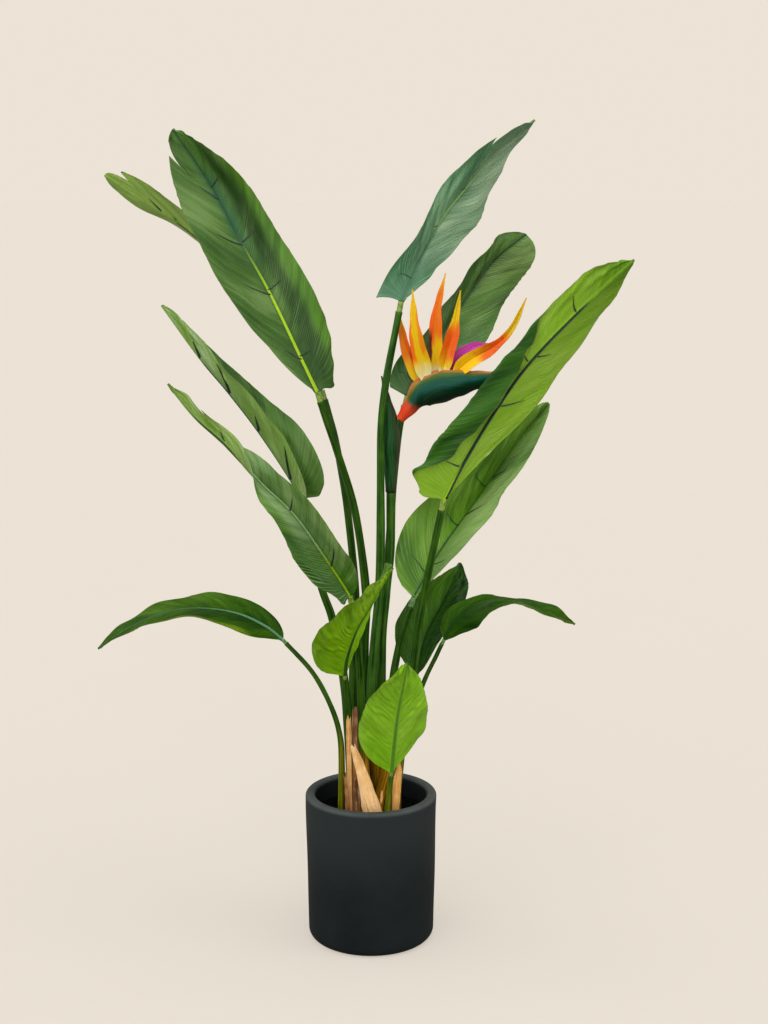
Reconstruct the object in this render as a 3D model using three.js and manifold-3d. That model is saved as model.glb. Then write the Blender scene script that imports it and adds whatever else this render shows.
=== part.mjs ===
// A potted bird of paradise, about one metre tall: thirteen leaves on their stalks and one
// flower, standing in a plain round pot.  The plant is of the artificial kind: each leaf blade
// is a thin moulded sheet with a rib, plugged onto the end of a stiff stalk.
// Millimetres, +Z up, origin at the centre of the pot's foot; -Y is the front.

import * as THREE from "three";
import { mergeVertices } from "three/addons/utils/BufferGeometryUtils.js";
import Module from "manifold-3d";

// Pot and soil
const POT_HEIGHT = 184;
const POT_RADIUS = 80;
const POT_FOOT_RADIUS = 77;
const POT_WALL = 12;
const POT_FLOOR = 12;
const POT_FOOT_ROUND = 11;
const POT_RIM_ROUND = 4;
const POT_SIDES = 36;
const SOIL_BELOW_RIM = 24;
const STEM_DEPTH = 34;

// Leaves, stalks and flower
const CLEARANCE = 0.3;
const LEAF_THICKNESS = 0.9;
const SHEATH_THICKNESS = 1.3;
const SEPAL_THICKNESS = 1.3;
const LARGE_RIB_RADIUS = [3.5, 2.2];
const SMALL_RIB_RADIUS = [2.6, 1.8];
const LARGE_STALK_RADIUS = [7.1, 6.9, 5.3, 4.5, 4.0];
const SMALL_STALK_RADIUS = [4.3, 4.0, 3.0, 2.7];
const FLOWER_STEM_RADIUS = [6.5, 6.2, 5.6, 5.4];
const STALK_SIDES = 8;

const SOIL_TOP = POT_HEIGHT - SOIL_BELOW_RIM;
const STEM_FOOT = SOIL_TOP - STEM_DEPTH;
const POT_INNER_RADIUS = POT_RADIUS - POT_WALL;
const FRONT = new THREE.Vector3(0, -1, 0);

// Colours
const LEAF_TOP = "#3f6b2e";
const LEAF_UNDER = "#6f9a2c";
const STALK_GREEN = "#23451a";
const DRY_TAN = "#bf8f57";

// Each leaf.  rib: points along the midrib from the stalk to the tip.  half: greatest half
// width left and right of the rib.  widest: where along the rib that is.  baseRound, tipRound:
// how bluntly each half rises from the base and falls to the tip, smaller being blunter.
// roll: turn of the blade about its rib in degrees from base to tip, 0 with its upper face to
// the front and 180 with its underside.  fold: degrees by which each half is raised toward
// the upper face, from base to tip.  margins: a half's widths at equal steps from base to tip,
// where it has an outline of its own.  curl: further degrees by which each half is raised at its
// margin.  foot: how far the foot of each half runs back past the base, as [corner, middle].
// tears: [side, place, depth, length] nicks in the margin.  stalk: points of the stalk above the
// soil, up to the blade.
const LEAVES = [
  {
    name: "leaf_01",
    large: true,
    rib: [[-63, 20, 673], [-84, 32, 715], [-121, 52, 789], [-154, 66, 846],
      [-190, 80, 912], [-235, 92, 978]],
    half: [54, 49],
    widest: [0.36, 0.14],
    baseRound: [0.76, 0.47],
    tipRound: [0.57, 0.41],
    roll: [-5, 24, -20],
    fold: [[24, 15, 20], [11, 9, 34]],
    margins: [null, [26, 38, 47, 51, 49, 48.5, 47.5, 47, 46.5, 45, 44, 42.5, 42, 40, 37.5, 35.5, 32, 29,
      23.5, 16, 0.8]],
    curl: [[0], [-85, -50, -12, 0, 0, 0, 0, 0, 0]],
    foot: [[0, 0], [0, 3]],
    tears: [[-1, 0.93, 0.22, 0.035]],
    stalk: [[-8, -6, 160], [-10, -1, 230], [-10, 6, 300], [-8, 12, 370], [-6, 16, 432], [-19, 18, 530],
      [-40, 19, 602], [-53, 20, 640]],
  },
  {
    name: "leaf_02",
    large: true,
    rib: [[-59, 60, 670], [-98, 85, 721], [-165, 110, 805], [-224, 125, 860],
      [-280, 135, 894], [-325, 142, 924]],
    half: [50, 46],
    widest: [0.46, 0.41],
    baseRound: [0.5, 0.5],
    tipRound: [0.45, 0.36],
    roll: [150, 119, 117],
    fold: [[14, -10, 20], [14, 20, 0]],
    tears: [[-1, 0.92, 0.6, 0.035]],
    stalk: [[-14, 10, 160], [-18, 14, 230], [-21, 22, 300], [-20, 30, 370], [-19, 36, 430], [-28, 42, 525],
      [-41, 52, 604], [-50, 56, 640]],
  },
  {
    name: "leaf_03",
    large: true,
    rib: [[-80, -20, 552], [-91, -26, 574], [-127, -44, 635], [-160, -60, 683],
      [-190, -74, 723], [-230, -92, 784]],
    half: [38, 42],
    widest: [0.1, 0.1],
    baseRound: [0.48, 0.2],
    tipRound: [0.72, 1.0],
    roll: [47, 95, 104],
    fold: [[66, 30, 46], [58, 38, 37]],
    foot: [[0, 0], [0, 7]],
    tears: [[-1, 0.9, 0.3, 0.03]],
    stalk: [[-22, -13, 160], [-24, -12, 230], [-29, -11, 300], [-38, -11, 370], [-47, -11, 409],
      [-58, -13, 442], [-72, -16, 500]],
  },
  {
    name: "leaf_04",
    large: true,
    rib: [[-24, -58, 444], [-44, -66, 479], [-84, -82, 542], [-123, -94, 584], [-160, -104, 628],
      [-194, -112, 662], [-222, -120, 700]],
    half: [36, 32],
    widest: [0.16, 0.12],
    baseRound: [0.2, 0.5],
    tipRound: [1.2, 1.4],
    roll: [22, 2, 10, 128, 128],
    fold: [[30, 56, 28], [45, 28, 50]],
    foot: [[-3, 4], [0, 3]],
    margins: [[18, 34, 36, 34, 31, 24, 15, 13, 13, 10, 0.8], null],
    tears: [],
    stalk: [[-8, -22, 160], [-9, -26, 230], [-11, -36, 300], [-14, -47, 370], [-18, -53, 410]],
  },
  {
    name: "leaf_05",
    large: false,
    rib: [[-105, -22, 382], [-126, -20, 398], [-161, -17, 413], [-207, -14, 418], [-251, -10, 410],
      [-294, -6, 389], [-328, -4, 366]],
    half: [36, 40],
    widest: [0.16, 0.37],
    baseRound: [0.84, 0.46],
    tipRound: [0.62, 0.67],
    roll: [55, 79, 89],
    fold: [[6, 7, 0], [2, 0, 14]],
    tears: [],
    stalk: [[-36, -24, 160], [-35, -28, 228], [-37, -30, 265], [-47, -29, 300], [-69, -26, 342]],
  },
  {
    name: "leaf_06",
    large: false,
    rib: [[-30, -62, 350], [-27, -78, 375], [-16, -106, 415], [1, -132, 452], [25, -162, 501]],
    half: [43, 48],
    widest: [0.39, 0.19],
    baseRound: [0.62, 0.31],
    tipRound: [0.62, 0.67],
    roll: [224, 233, 253],
    fold: [[16, 27, 31], [35, 14, 13]],
    tears: [],
    stalk: [[-23, -28, 160], [-25, -30, 230], [-28, -36, 290], [-30, -48, 325]],
  },
  {
    name: "leaf_07",
    large: false,
    rib: [[25, -62, 231], [28, -92, 278], [32, -126, 325], [37, -154, 364], [41, -176, 397]],
    half: [40, 44],
    widest: [0.23, 0.14],
    baseRound: [0.78, 0.41],
    tipRound: [0.98, 0.81],
    roll: [191, 192, 210],
    fold: [[20, 10, 14], [26, 15, 5]],
    tears: [],
    stalk: [[20, -32, 160], [21, -40, 190], [23, -51, 213]],
  },
  {
    name: "leaf_08",
    large: true,
    rib: [[36, 14, 780], [55, 36, 823], [83, 64, 872], [114, 88, 910], [156, 118, 956], [199, 140, 989]],
    half: [34, 51],
    widest: [0.6, 0.46],
    baseRound: [0.1, 0.68],
    tipRound: [0.58, 0.82],
    roll: [-25, 44, 44, 58, 54],
    fold: [[16, 0, 20], [10, 6, -10]],
    margins: [[29, 26, 27, 31, 33, 34, 34, 32, 27, 18, 0.8], null],
    foot: [[7, 0], [0, 0]],
    tears: [[-1, 0.85, 0.35, 0.035]],
    stalk: [[7, -2, 160], [5, -4, 230], [1, -4, 300], [5, -1, 370], [10, 4, 430], [12, 4, 500],
      [12, 5, 580], [13, 6, 640], [19, 8, 691], [29, 11, 744]],
  },
  {
    name: "leaf_09",
    large: true,
    rib: [[44, 60, 663], [63, 82, 703], [90, 104, 739], [119, 128, 779], [152, 152, 820], [193, 172, 851]],
    half: [35, 54],
    widest: [0.57, 0.2],
    baseRound: [0.1, 0.5],
    tipRound: [0.7, 0.3],
    roll: [-40, 32, 40, 46, 10],
    fold: [[22, 16, 0], [50, 22, 32]],
    tears: [[-1, 0.86, 0.25, 0.035]],
    stalk: [[16, 20, 160], [14, 29, 230], [12, 36, 300], [13, 42, 370], [18, 46, 430], [24, 50, 510],
      [28, 53, 566], [35, 56, 626]],
  },
  {
    name: "leaf_10",
    large: true,
    rib: [[85, -50, 556], [107, -58, 602], [140, -70, 661], [177, -82, 717],
      [229, -94, 775], [290, -104, 835]],
    half: [53, 60],
    widest: [0.41, 0.25],
    baseRound: [0.88, 0.15],
    tipRound: [0.69, 0.58],
    roll: [214, 200, 222],
    fold: [[1, 21, 9], [10, 6, 24]],
    foot: [[0, 0], [0, 3]],
    margins: [null, [34, 62, 74, 74, 74, 70, 65, 60, 55, 46, 38, 34, 31, 30, 30, 30, 30, 26, 19, 11, 0.8]],
    // the right half's margin is folded over onto its underside between base and middle
    crease: {
      side: 1,
      turn: -165,
      place: [1.1, 0.62, 0.55, 0.52, 0.53, 0.68, 0.95, 1.2, 1.2, 1.2, 1.2],
      soft: 0.06,
    },
    tears: [],
    stalk: [[8, -18, 160], [14, -20, 200], [26, -24, 250], [39, -30, 300], [51, -36, 351], [58, -40, 415],
      [72, -46, 490]],
  },
  {
    name: "leaf_11",
    large: true,
    rib: [[52, 10, 426], [79, 26, 471], [123, 52, 529], [153, 70, 569], [184, 88, 610], [219, 104, 648]],
    half: [54, 46],
    widest: [0.14, 0.36],
    baseRound: [0.44, 1.0],
    tipRound: [0.49, 0.64],
    roll: [-32, -45, -9, 2, -6],
    fold: [[29, 58, 64], [0, 64, 60]],
    tears: [],
    stalk: [[22, -4, 160], [23, -4, 200], [24, -2, 249], [25, 2, 300], [28, 2, 335], [38, 5, 384]],
  },
  {
    name: "leaf_12",
    large: false,
    rib: [[56, 20, 328], [67, 44, 367], [85, 66, 398], [103, 86, 429], [112, 98, 448]],
    half: [42, 34],
    widest: [0.18, 0.18],
    baseRound: [0.6, 0.4],
    tipRound: [0.62, 0.75],
    roll: [-32, -20, 36],
    fold: [[29, 37, 34], [37, 37, 35]],
    tears: [],
    stalk: [[32, 5, 160], [35, 10, 200], [41, 14, 244], [53, 17, 300]],
  },
  {
    name: "leaf_13",
    large: false,
    rib: [[88, -10, 379], [104, -14, 406], [138, -18, 426], [171, -20, 427],
      [209, -22, 416], [243, -22, 401]],
    half: [30, 46],
    widest: [0.4, 0.3],
    baseRound: [0.2, 0.7],
    tipRound: [1.0, 0.63],
    roll: [-60, -80, -64],
    fold: [[0, -14, 14], [-14, 24, 32]],
    tears: [],
    stalk: [[33, -13, 160], [33, -12, 200], [38, -10, 245], [62, -3, 318], [79, -7, 358]],
  },
];

// The papery remains of old leaf bases round the foot of the stems, as strips like blades.
// profile: half widths from foot to top.  Their feet are cut level, just above the soil.
const DRY_SHEATHS = [
  {
    name: "dry_sheath_1",
    rib: [[-24, -44, 150], [-25, -45, 200], [-26, -48, 250], [-26, -52, 298]],
    profile: [2, 2.4, 3.0, 3.2, 3.2, 2.8],
    roll: [-14, -14],
    curl: [[-35], [-30]],
  },
  {
    name: "dry_sheath_2",
    rib: [[8, -50, 148], [-3, -52, 196], [-13, -52, 234], [-22, -52, 262]],
    profile: [13.5, 12, 9, 6, 3.5],
    roll: [0, 0],
    curl: [[-35], [-35]],
  },
  {
    name: "dry_sheath_3",
    rib: [[28.5, -29, 148], [31, -30, 190], [33, -30, 213], [35.5, -30, 234]],
    profile: [3.8, 5, 5.5, 2.5],
    roll: [10, 10],
    curl: [[-40], [-40]],
  },
  {
    name: "dry_sheath_4",
    rib: [[-28, -50, 148], [-28, -51, 190], [-31, -51, 224]],
    profile: [2.6, 2.8, 1.5],
    roll: [0, 0],
    curl: [[-20], [-20]],
  },
  {
    name: "dry_sheath_5",
    rib: [[-6, 31, 148], [-8, 33, 220], [-5, 34, 282]],
    profile: [12, 11, 8, 5],
    roll: [180, 180],
    curl: [[-50], [-50]],
  },
];

// The flower: its stem, the green bract at the stem's head, the beak-shaped spathe, and
// the orange sepals and the purple petal that stand up out of the spathe.
const FLOWER_STEM = [[2, 14, 160], [8, 14, 230], [12, 15, 300], [13, 15, 370], [18, 14, 430],
  [23, 14, 480], [24, 14, 520]];
const BRACT_PATH = [[24, 14, 554], [24, 15, 580], [25, 16, 616], [23, 17, 646], [18, 18, 670],
  [13, 18, 692]];
const BRACT_RADIUS = [6.4, 7.6, 10.5, 8.6, 4.6, 0.9];
const SPATHE_PATH = [[35, 15, 641], [47, 14, 656], [60, 14, 671], [82, 13, 680], [106, 12, 685],
  [129, 10, 689], [148, 8, 693], [166, 6, 698]];
const SPATHE_HEIGHT = [5.6, 9.5, 17.5, 19.5, 16, 11, 6.5, 1.2];
const SPATHE_DEPTH = [5.4, 8, 10.5, 11.5, 10, 7.5, 4.5, 1.0];
const SEPALS = [
  {
    name: "sepal_1",
    rib: [[64, 18, 676], [49, 18, 706], [40, 20, 733], [35, 22, 762]],
    profile: [3, 8.5, 7.5, 5.5, 0.8],
    roll: [-20, -20],
  },
  {
    name: "sepal_2",
    rib: [[68, 14, 676], [59, 9, 712], [52, 6, 745], [49, 6, 794]],
    profile: [2, 11.5, 9.5, 5, 0.8],
    roll: [10, 0],
  },
  {
    name: "sepal_3",
    rib: [[76, 20, 684], [77.5, 22, 722], [78, 24, 765], [88, 28, 812]],
    profile: [7.5, 9, 8.5, 4.5, 0.8],
    roll: [-10, -10],
  },
  {
    name: "sepal_4",
    rib: [[83, 12, 686], [89, 12, 718], [97, 11, 748], [105, 10, 793]],
    profile: [4, 9.5, 9, 4, 0.8],
    roll: [10, 10],
  },
  {
    name: "sepal_5",
    rib: [[93, 16, 686], [113, 8, 709], [146, -3, 730.5], [165, -8, 752], [180, -12, 786]],
    profile: [2, 10.5, 9.5, 5, 3.5, 0.8],
    roll: [-6, -6],
  },
];
const PETAL = {
  name: "petal",
  rib: [[91, 19, 688], [105, 22, 713], [121, 23, 725], [138, 22, 730]],
  profile: [4, 8.5, 9, 6, 1],
  roll: [-30, -30],
};

const clamp = (x, low, high) => Math.min(high, Math.max(low, x));
const radians = THREE.MathUtils.degToRad;

// A value at 0..1 along a list of values at equal steps, eased from each to the next.
function eased(values, t) {
  if (values.length === 1) return values[0];
  const x = clamp(t, 0, 1) * (values.length - 1);
  const i = Math.min(Math.floor(x), values.length - 2);
  const w = x - i;
  const s = w * w * (3 - 2 * w);
  return values[i] * (1 - s) + values[i + 1] * s;
}

function smoothStep(low, high, x) {
  const w = clamp((x - low) / (high - low), 0, 1);
  return w * w * (3 - 2 * w);
}

function curveThrough(points) {
  const vectors = points.map((p) => new THREE.Vector3(...p));
  return new THREE.CatmullRomCurve3(vectors, false, "catmullrom", 0.5);
}

// A closed mesh from a grid of corner points, given as an upper and a lower sheet.
function sheetGeometry(upper, lower) {
  const rows = upper.length;
  const columns = upper[0].length;
  const positions = [];
  for (const sheet of [upper, lower]) {
    for (const row of sheet) {
      for (const p of row) positions.push(p.x, p.y, p.z);
    }
  }
  const below = rows * columns;
  const at = (i, j) => i * columns + j;
  const faces = [];
  for (let i = 0; i < rows - 1; i += 1) {
    for (let j = 0; j < columns - 1; j += 1) {
      const [a, b, c, d] = [at(i, j), at(i, j + 1), at(i + 1, j + 1), at(i + 1, j)];
      faces.push(a, b, c, a, c, d);
      faces.push(below + a, below + c, below + b, below + a, below + d, below + c);
    }
  }
  const edge = [];
  for (let j = 0; j < columns - 1; j += 1) edge.push(at(0, j));
  for (let i = 0; i < rows - 1; i += 1) edge.push(at(i, columns - 1));
  for (let j = columns - 1; j > 0; j -= 1) edge.push(at(rows - 1, j));
  for (let i = rows - 1; i > 0; i -= 1) edge.push(at(i, 0));
  edge.forEach((a, k) => {
    const b = edge[(k + 1) % edge.length];
    faces.push(a, below + a, below + b, a, below + b, b);
  });
  const geometry = new THREE.BufferGeometry();
  geometry.setAttribute("position", new THREE.Float32BufferAttribute(positions, 3));
  geometry.setIndex(faces);
  return geometry;
}

// A closed mesh through a row of rings with the same number of points each.
function loftGeometry(rings) {
  const sides = rings[0].length;
  const positions = [];
  for (const ring of rings) {
    for (const p of ring) positions.push(p.x, p.y, p.z);
  }
  const faces = [];
  for (let i = 0; i < rings.length - 1; i += 1) {
    for (let k = 0; k < sides; k += 1) {
      const a = i * sides + k;
      const b = i * sides + ((k + 1) % sides);
      faces.push(a, b, b + sides, a, b + sides, a + sides);
    }
  }
  const last = (rings.length - 1) * sides;
  for (let k = 1; k < sides - 1; k += 1) {
    faces.push(0, k + 1, k);
    faces.push(last, last + k, last + k + 1);
  }
  const geometry = new THREE.BufferGeometry();
  geometry.setAttribute("position", new THREE.Float32BufferAttribute(positions, 3));
  geometry.setIndex(faces);
  return geometry;
}

// Directions of a blade at a place on its rib: along it, across it to its right, and up from
// its upper face.
function bladeFrame(curve, roll, t) {
  const along = curve.getTangentAt(t);
  const facing = FRONT.clone().addScaledVector(along, -FRONT.dot(along)).normalize();
  const across = along.clone().cross(facing);
  const angle = radians(eased(roll, t));
  const normal = facing.multiplyScalar(Math.cos(angle)).addScaledVector(across, Math.sin(angle));
  const right = along.clone().cross(normal);
  return { along, right, normal };
}

function halfWidth(leaf, side, t) {
  if (leaf.profile) return eased(leaf.profile, t);
  if (leaf.margins[side]) return eased(leaf.margins[side], t);
  const widest = leaf.widest[side];
  const rising = Math.sin(clamp(t / widest, 0, 1) * Math.PI / 2) ** leaf.baseRound[side];
  const falling = Math.max(0, Math.cos(clamp((t - widest) / (1 - widest), 0, 1) * Math.PI / 2));
  const shape = t < widest ? rising : falling ** leaf.tipRound[side];
  return Math.max(leaf.half[side] * shape, leaf.stub * (1 - t) + 0.7 * t);
}

// How much of its width a torn margin keeps.
function margin(leaf, sign, t) {
  let keep = 1;
  for (const [side, place, depth, length] of leaf.tears) {
    const near = clamp(1 - Math.abs(t - place) / length, 0, 1);
    if (side === sign) keep = Math.min(keep, 1 - depth * near);
  }
  return keep;
}

// A point of a blade's middle surface.  t runs up the rib and c from -1 to 1 across; lines of
// equal t lean toward the tip as the side veins do.
function bladePoint(leaf, curve, length, t, c) {
  const side = c < 0 ? 0 : 1;
  const sign = c < 0 ? -1 : 1;
  const v = Math.abs(c);
  const width = halfWidth(leaf, side, t);
  const lean = leaf.slant * v ** 1.4 * (leaf.half[side] / length);
  const place = clamp(t + lean * Math.min(1, t / 0.12) * Math.min(1, (1 - t) / 0.3), 0, 1);
  const frame = bladeFrame(curve, leaf.roll, place);
  const fold = radians(eased(leaf.fold[side], t));
  const curl = radians(eased(leaf.curl[side], t));
  const crease = leaf.crease && leaf.crease.side === sign ? leaf.crease : null;
  const angleAt = (x) => {
    const turned = crease
      ? radians(crease.turn) * smoothStep(-crease.soft, crease.soft, x - eased(crease.place, t))
      : 0;
    return fold + curl * x + turned;
  };
  const steps = 24;
  const reach = v * margin(leaf, sign, t);
  let out = 0;
  let up = 0;
  for (let k = 0; k < steps; k += 1) {
    const angle = angleAt(reach * (k + 0.5) / steps);
    out += Math.cos(angle) * reach / steps;
    up += Math.sin(angle) * reach / steps;
  }
  const phase = 2 * Math.PI * (leaf.waves * t + leaf.phase + (sign > 0 ? 0.25 : 0));
  const fade = Math.min(1, t / 0.15) * Math.min(1, (1 - t) / 0.1 + 0.3);
  const wave = leaf.wave * v * v * Math.sin(phase) * fade;
  const [corner, middle] = leaf.foot[side];
  const lobe = corner * v ** 3 + middle * Math.sin(Math.PI * v ** 2);
  const drop = lobe * Math.exp(-((t / 0.05) ** 2)) * smoothStep(7, 18, v * width);
  const point = curve.getPointAt(place)
    .addScaledVector(frame.along, -drop)
    .addScaledVector(frame.right, sign * out * width)
    .addScaledVector(frame.normal, up * width + wave);
  const angle = v === 0 ? 0 : angleAt(reach);
  const normal = frame.normal.clone().multiplyScalar(Math.cos(angle))
    .addScaledVector(frame.right, -sign * Math.sin(angle));
  return { point, normal, distance: v * width };
}

// A blade as a closed thin sheet, thicker along its rib on the underside.
function bladeGeometry(leaf, rows, columns) {
  const curve = curveThrough(leaf.rib);
  const length = curve.getLength();
  const upper = [];
  const lower = [];
  for (const t of rows) {
    const ribRadius = leaf.ribRadius[0] * (1 - t) + leaf.ribRadius[1] * t;
    const top = [];
    const under = [];
    for (const column of columns) {
      const side = column < 0 ? 0 : 1;
      const ribEdge = Math.min(ribRadius / halfWidth(leaf, side, t), 0.34);
      const c = Math.abs(column) === RIB_EDGE ? Math.sign(column) * ribEdge : column;
      const { point, normal, distance } = bladePoint(leaf, curve, length, t, c);
      const ribShape = ribRadius > 0 ? Math.sqrt(Math.max(0, 1 - (distance / ribRadius) ** 2)) : 0;
      const ribHeight = 0.75 * ribRadius * ribShape;
      top.push(point.clone().addScaledVector(normal, leaf.thickness / 2 + 0.2 * ribHeight));
      under.push(point.clone().addScaledVector(normal, -leaf.thickness / 2 - ribHeight));
    }
    upper.push(top);
    lower.push(under);
  }
  return sheetGeometry(upper, lower);
}

// A column marked with this value stands at the edge of the rib, whatever the blade's width.
const RIB_EDGE = 0.01;

// A round or oval tube through points, with its radii given from start to end.
function tubeGeometry(points, sides, steps, height, depth = height, lastDirection = null) {
  const curve = curveThrough(points);
  const rings = [];
  for (let i = 0; i <= steps; i += 1) {
    const u = i / steps;
    const centre = curve.getPointAt(u);
    const along = i === steps && lastDirection ? lastDirection : curve.getTangentAt(u);
    const away = FRONT.clone().addScaledVector(along, -FRONT.dot(along)).normalize();
    const up = away.clone().cross(along);
    const ring = [];
    for (let k = 0; k < sides; k += 1) {
      const angle = 2 * Math.PI * (k + 0.5) / sides;
      ring.push(centre.clone()
        .addScaledVector(up, Math.cos(angle) * eased(height, u))
        .addScaledVector(away, Math.sin(angle) * eased(depth, u)));
    }
    rings.push(ring);
  }
  return loftGeometry(rings);
}

const wasm = await Module();
wasm.setup();

function toManifold(geometry) {
  const bare = geometry.clone();
  bare.deleteAttribute("normal");
  bare.deleteAttribute("uv");
  const merged = mergeVertices(bare, 1e-4);
  return new wasm.Manifold(new wasm.Mesh({
    numProp: 3,
    vertProperties: new Float32Array(merged.attributes.position.array),
    triVerts: new Uint32Array(merged.index.array),
  }));
}

function toGeometry(manifold) {
  const { vertProperties, triVerts } = manifold.getMesh();
  const geometry = new THREE.BufferGeometry();
  geometry.setAttribute("position", new THREE.Float32BufferAttribute(vertProperties, 3));
  geometry.setIndex(new THREE.Uint32BufferAttribute(triVerts, 1));
  return geometry;
}

// A piece with its neighbours cut out of it, each neighbour given a little larger.
function cutBy(geometry, ...neighbours) {
  let solid = toManifold(geometry);
  for (const neighbour of neighbours) solid = solid.subtract(toManifold(neighbour));
  return toGeometry(solid);
}

const plant = new THREE.Group();

function add(name, geometry, color, roughness) {
  const shape = geometry.index ? geometry : mergeVertices(geometry);
  shape.computeVertexNormals();
  const material = new THREE.MeshStandardMaterial({ color, roughness, metalness: 0 });
  const mesh = new THREE.Mesh(shape, material);
  mesh.name = name;
  plant.add(mesh);
}

function arc(centreX, centreZ, radius, start, end, steps) {
  const points = [];
  for (let i = 0; i <= steps; i += 1) {
    const angle = radians(start + (end - start) * i / steps);
    points.push([centreX + radius * Math.cos(angle), centreZ + radius * Math.sin(angle)]);
  }
  return points;
}

// A solid turned about the vertical axis from a profile of [radius, height] points.
function turned(profile) {
  const outline = profile.map(([r, z]) => new THREE.Vector2(r, z));
  const geometry = new THREE.LatheGeometry(outline, POT_SIDES);
  geometry.rotateX(Math.PI / 2);
  return geometry;
}

function pot() {
  const floorRound = 6;
  const profile = [
    [0, 0],
    ...arc(POT_FOOT_RADIUS - POT_FOOT_ROUND, POT_FOOT_ROUND, POT_FOOT_ROUND, -90, 0, 4),
    ...arc(POT_RADIUS - POT_RIM_ROUND, POT_HEIGHT - POT_RIM_ROUND, POT_RIM_ROUND, 0, 90, 3),
    ...arc(POT_INNER_RADIUS + POT_RIM_ROUND, POT_HEIGHT - POT_RIM_ROUND, POT_RIM_ROUND, 90, 180, 3),
    ...arc(POT_INNER_RADIUS - floorRound, POT_FLOOR + floorRound, floorRound, 0, -90, 2),
    [0, POT_FLOOR],
  ];
  add("pot", turned(profile), "#2c3031", 0.6);
}

// The soil fills the pot to a little below its rim, with a plain hole for each stem.
function soil(stems) {
  const floorRound = 6;
  const radius = POT_INNER_RADIUS - CLEARANCE;
  const foot = POT_FLOOR + CLEARANCE;
  const profile = [
    [0, foot],
    ...arc(radius - floorRound, foot + floorRound, floorRound, -90, 0, 2),
    [radius, SOIL_TOP],
    [0, SOIL_TOP],
  ];
  const holes = stems.map(({ points, radius: stemRadius }) => {
    const sides = 10;
    const holeRadius = (stemRadius + CLEARANCE) / Math.cos(Math.PI / sides);
    const depth = STEM_DEPTH + CLEARANCE;
    const hole = new THREE.CylinderGeometry(holeRadius, holeRadius, depth + 1, sides);
    hole.rotateX(Math.PI / 2);
    hole.translate(points[0][0], points[0][1], STEM_FOOT - CLEARANCE + (depth + 1) / 2);
    return hole;
  });
  add("soil", cutBy(turned(profile), ...holes), "#241d18", 0.95);
}

// A stem's points from its foot in the soil up; it leaves the soil upright.
function fromFoot(points) {
  const [first, second, ...rest] = points;
  const [x, y, z] = first;
  const upright = [x + 0.04 * (second[0] - x), y + 0.04 * (second[1] - y), z + 14];
  return [[x, y, STEM_FOOT], [x, y, (STEM_FOOT + SOIL_TOP) / 2], first, upright, second, ...rest];
}

const LARGE_ROWS = [0, 0.015, 0.05, 0.11, 0.19, 0.28, 0.37, 0.46, 0.55, 0.64, 0.73, 0.81, 0.88, 0.94,
  0.98, 1];
const SMALL_ROWS = [0, 0.02, 0.07, 0.15, 0.26, 0.38, 0.5, 0.62, 0.74, 0.85, 0.94, 1];
const LEAF_COLUMNS = [-1, -0.5, -RIB_EDGE, 0, RIB_EDGE, 0.5, 1];
const CREASED_COLUMNS = [-1, -0.5, -RIB_EDGE, 0, RIB_EDGE, 0.34, 0.44, 0.5, 0.56, 0.62, 0.68, 0.76,
  0.86, 1];
const STRIP_ROWS = [0, 0.12, 0.26, 0.4, 0.55, 0.7, 0.85, 1];
const STRIP_COLUMNS = [-1, -0.5, 0, 0.5, 1];
const SEPAL_ROWS = [0, 0.08, 0.2, 0.32, 0.45, 0.58, 0.7, 0.82, 0.92, 1];

// Rows with a nick's three corners among them.
function rowsWithTears(rows, tears) {
  const corners = tears.flatMap(([, place, , length]) => [place - length, place, place + length]);
  const apart = rows.filter((t) => corners.every((corner) => Math.abs(t - corner) > 0.012));
  return [...apart, ...corners].sort((a, b) => a - b);
}

function leaf(shape, index) {
  const ribRadius = shape.large ? LARGE_RIB_RADIUS : SMALL_RIB_RADIUS;
  const full = {
    slant: 0.55,
    wave: 1.2,
    waves: 4,
    phase: 0.17 * index,
    curl: [[0], [0]],
    margins: [null, null],
    foot: [[0, 0], [0, 0]],
    stub: ribRadius[0],
    thickness: LEAF_THICKNESS,
    ribRadius,
    ...shape,
  };
  const rows = rowsWithTears(shape.large ? LARGE_ROWS : SMALL_ROWS, shape.tears);
  const columns = shape.crease ? CREASED_COLUMNS : LEAF_COLUMNS;
  const underside = Math.abs(eased(shape.roll, 0.5)) > 90;
  add(shape.name, bladeGeometry(full, rows, columns), underside ? LEAF_UNDER : LEAF_TOP, 0.5);
}

// A leaf's stalk, ending in a plane just short of the foot of its blade.
function stalk({ name, large, rib, stalk: points }) {
  const ribCurve = curveThrough(rib);
  const direction = ribCurve.getTangentAt(0);
  const end = ribCurve.getPointAt(0).addScaledVector(direction, -CLEARANCE);
  const radius = large ? LARGE_STALK_RADIUS : SMALL_STALK_RADIUS;
  const path = [...fromFoot(points), end.toArray()];
  const steps = Math.round(clamp(curveThrough(path).getLength() / 38, 7, 15));
  const geometry = tubeGeometry(path, STALK_SIDES, steps, radius, radius, direction);
  add(name.replace("leaf", "stalk"), geometry, STALK_GREEN, 0.5);
}

// A narrow sheet, such as a sepal, whose two halves are alike.
function strip(shape, thickness, rows) {
  const full = {
    slant: 0,
    wave: 0,
    waves: 1,
    phase: 0,
    curl: [[0], [0]],
    fold: [[0], [0]],
    foot: [[0, 0], [0, 0]],
    tears: [],
    thickness,
    ribRadius: [0, 0],
    half: [shape.profile[1], shape.profile[1]],
    ...shape,
  };
  return bladeGeometry(full, rows, STRIP_COLUMNS);
}

function drySheaths() {
  const size = 2 * POT_RADIUS;
  const ground = new THREE.BoxGeometry(size, size, SOIL_TOP + CLEARANCE);
  ground.translate(0, 0, (SOIL_TOP + CLEARANCE) / 2);
  for (const shape of DRY_SHEATHS) {
    add(shape.name, cutBy(strip(shape, SHEATH_THICKNESS, STRIP_ROWS), ground), DRY_TAN, 0.8);
  }
}

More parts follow.
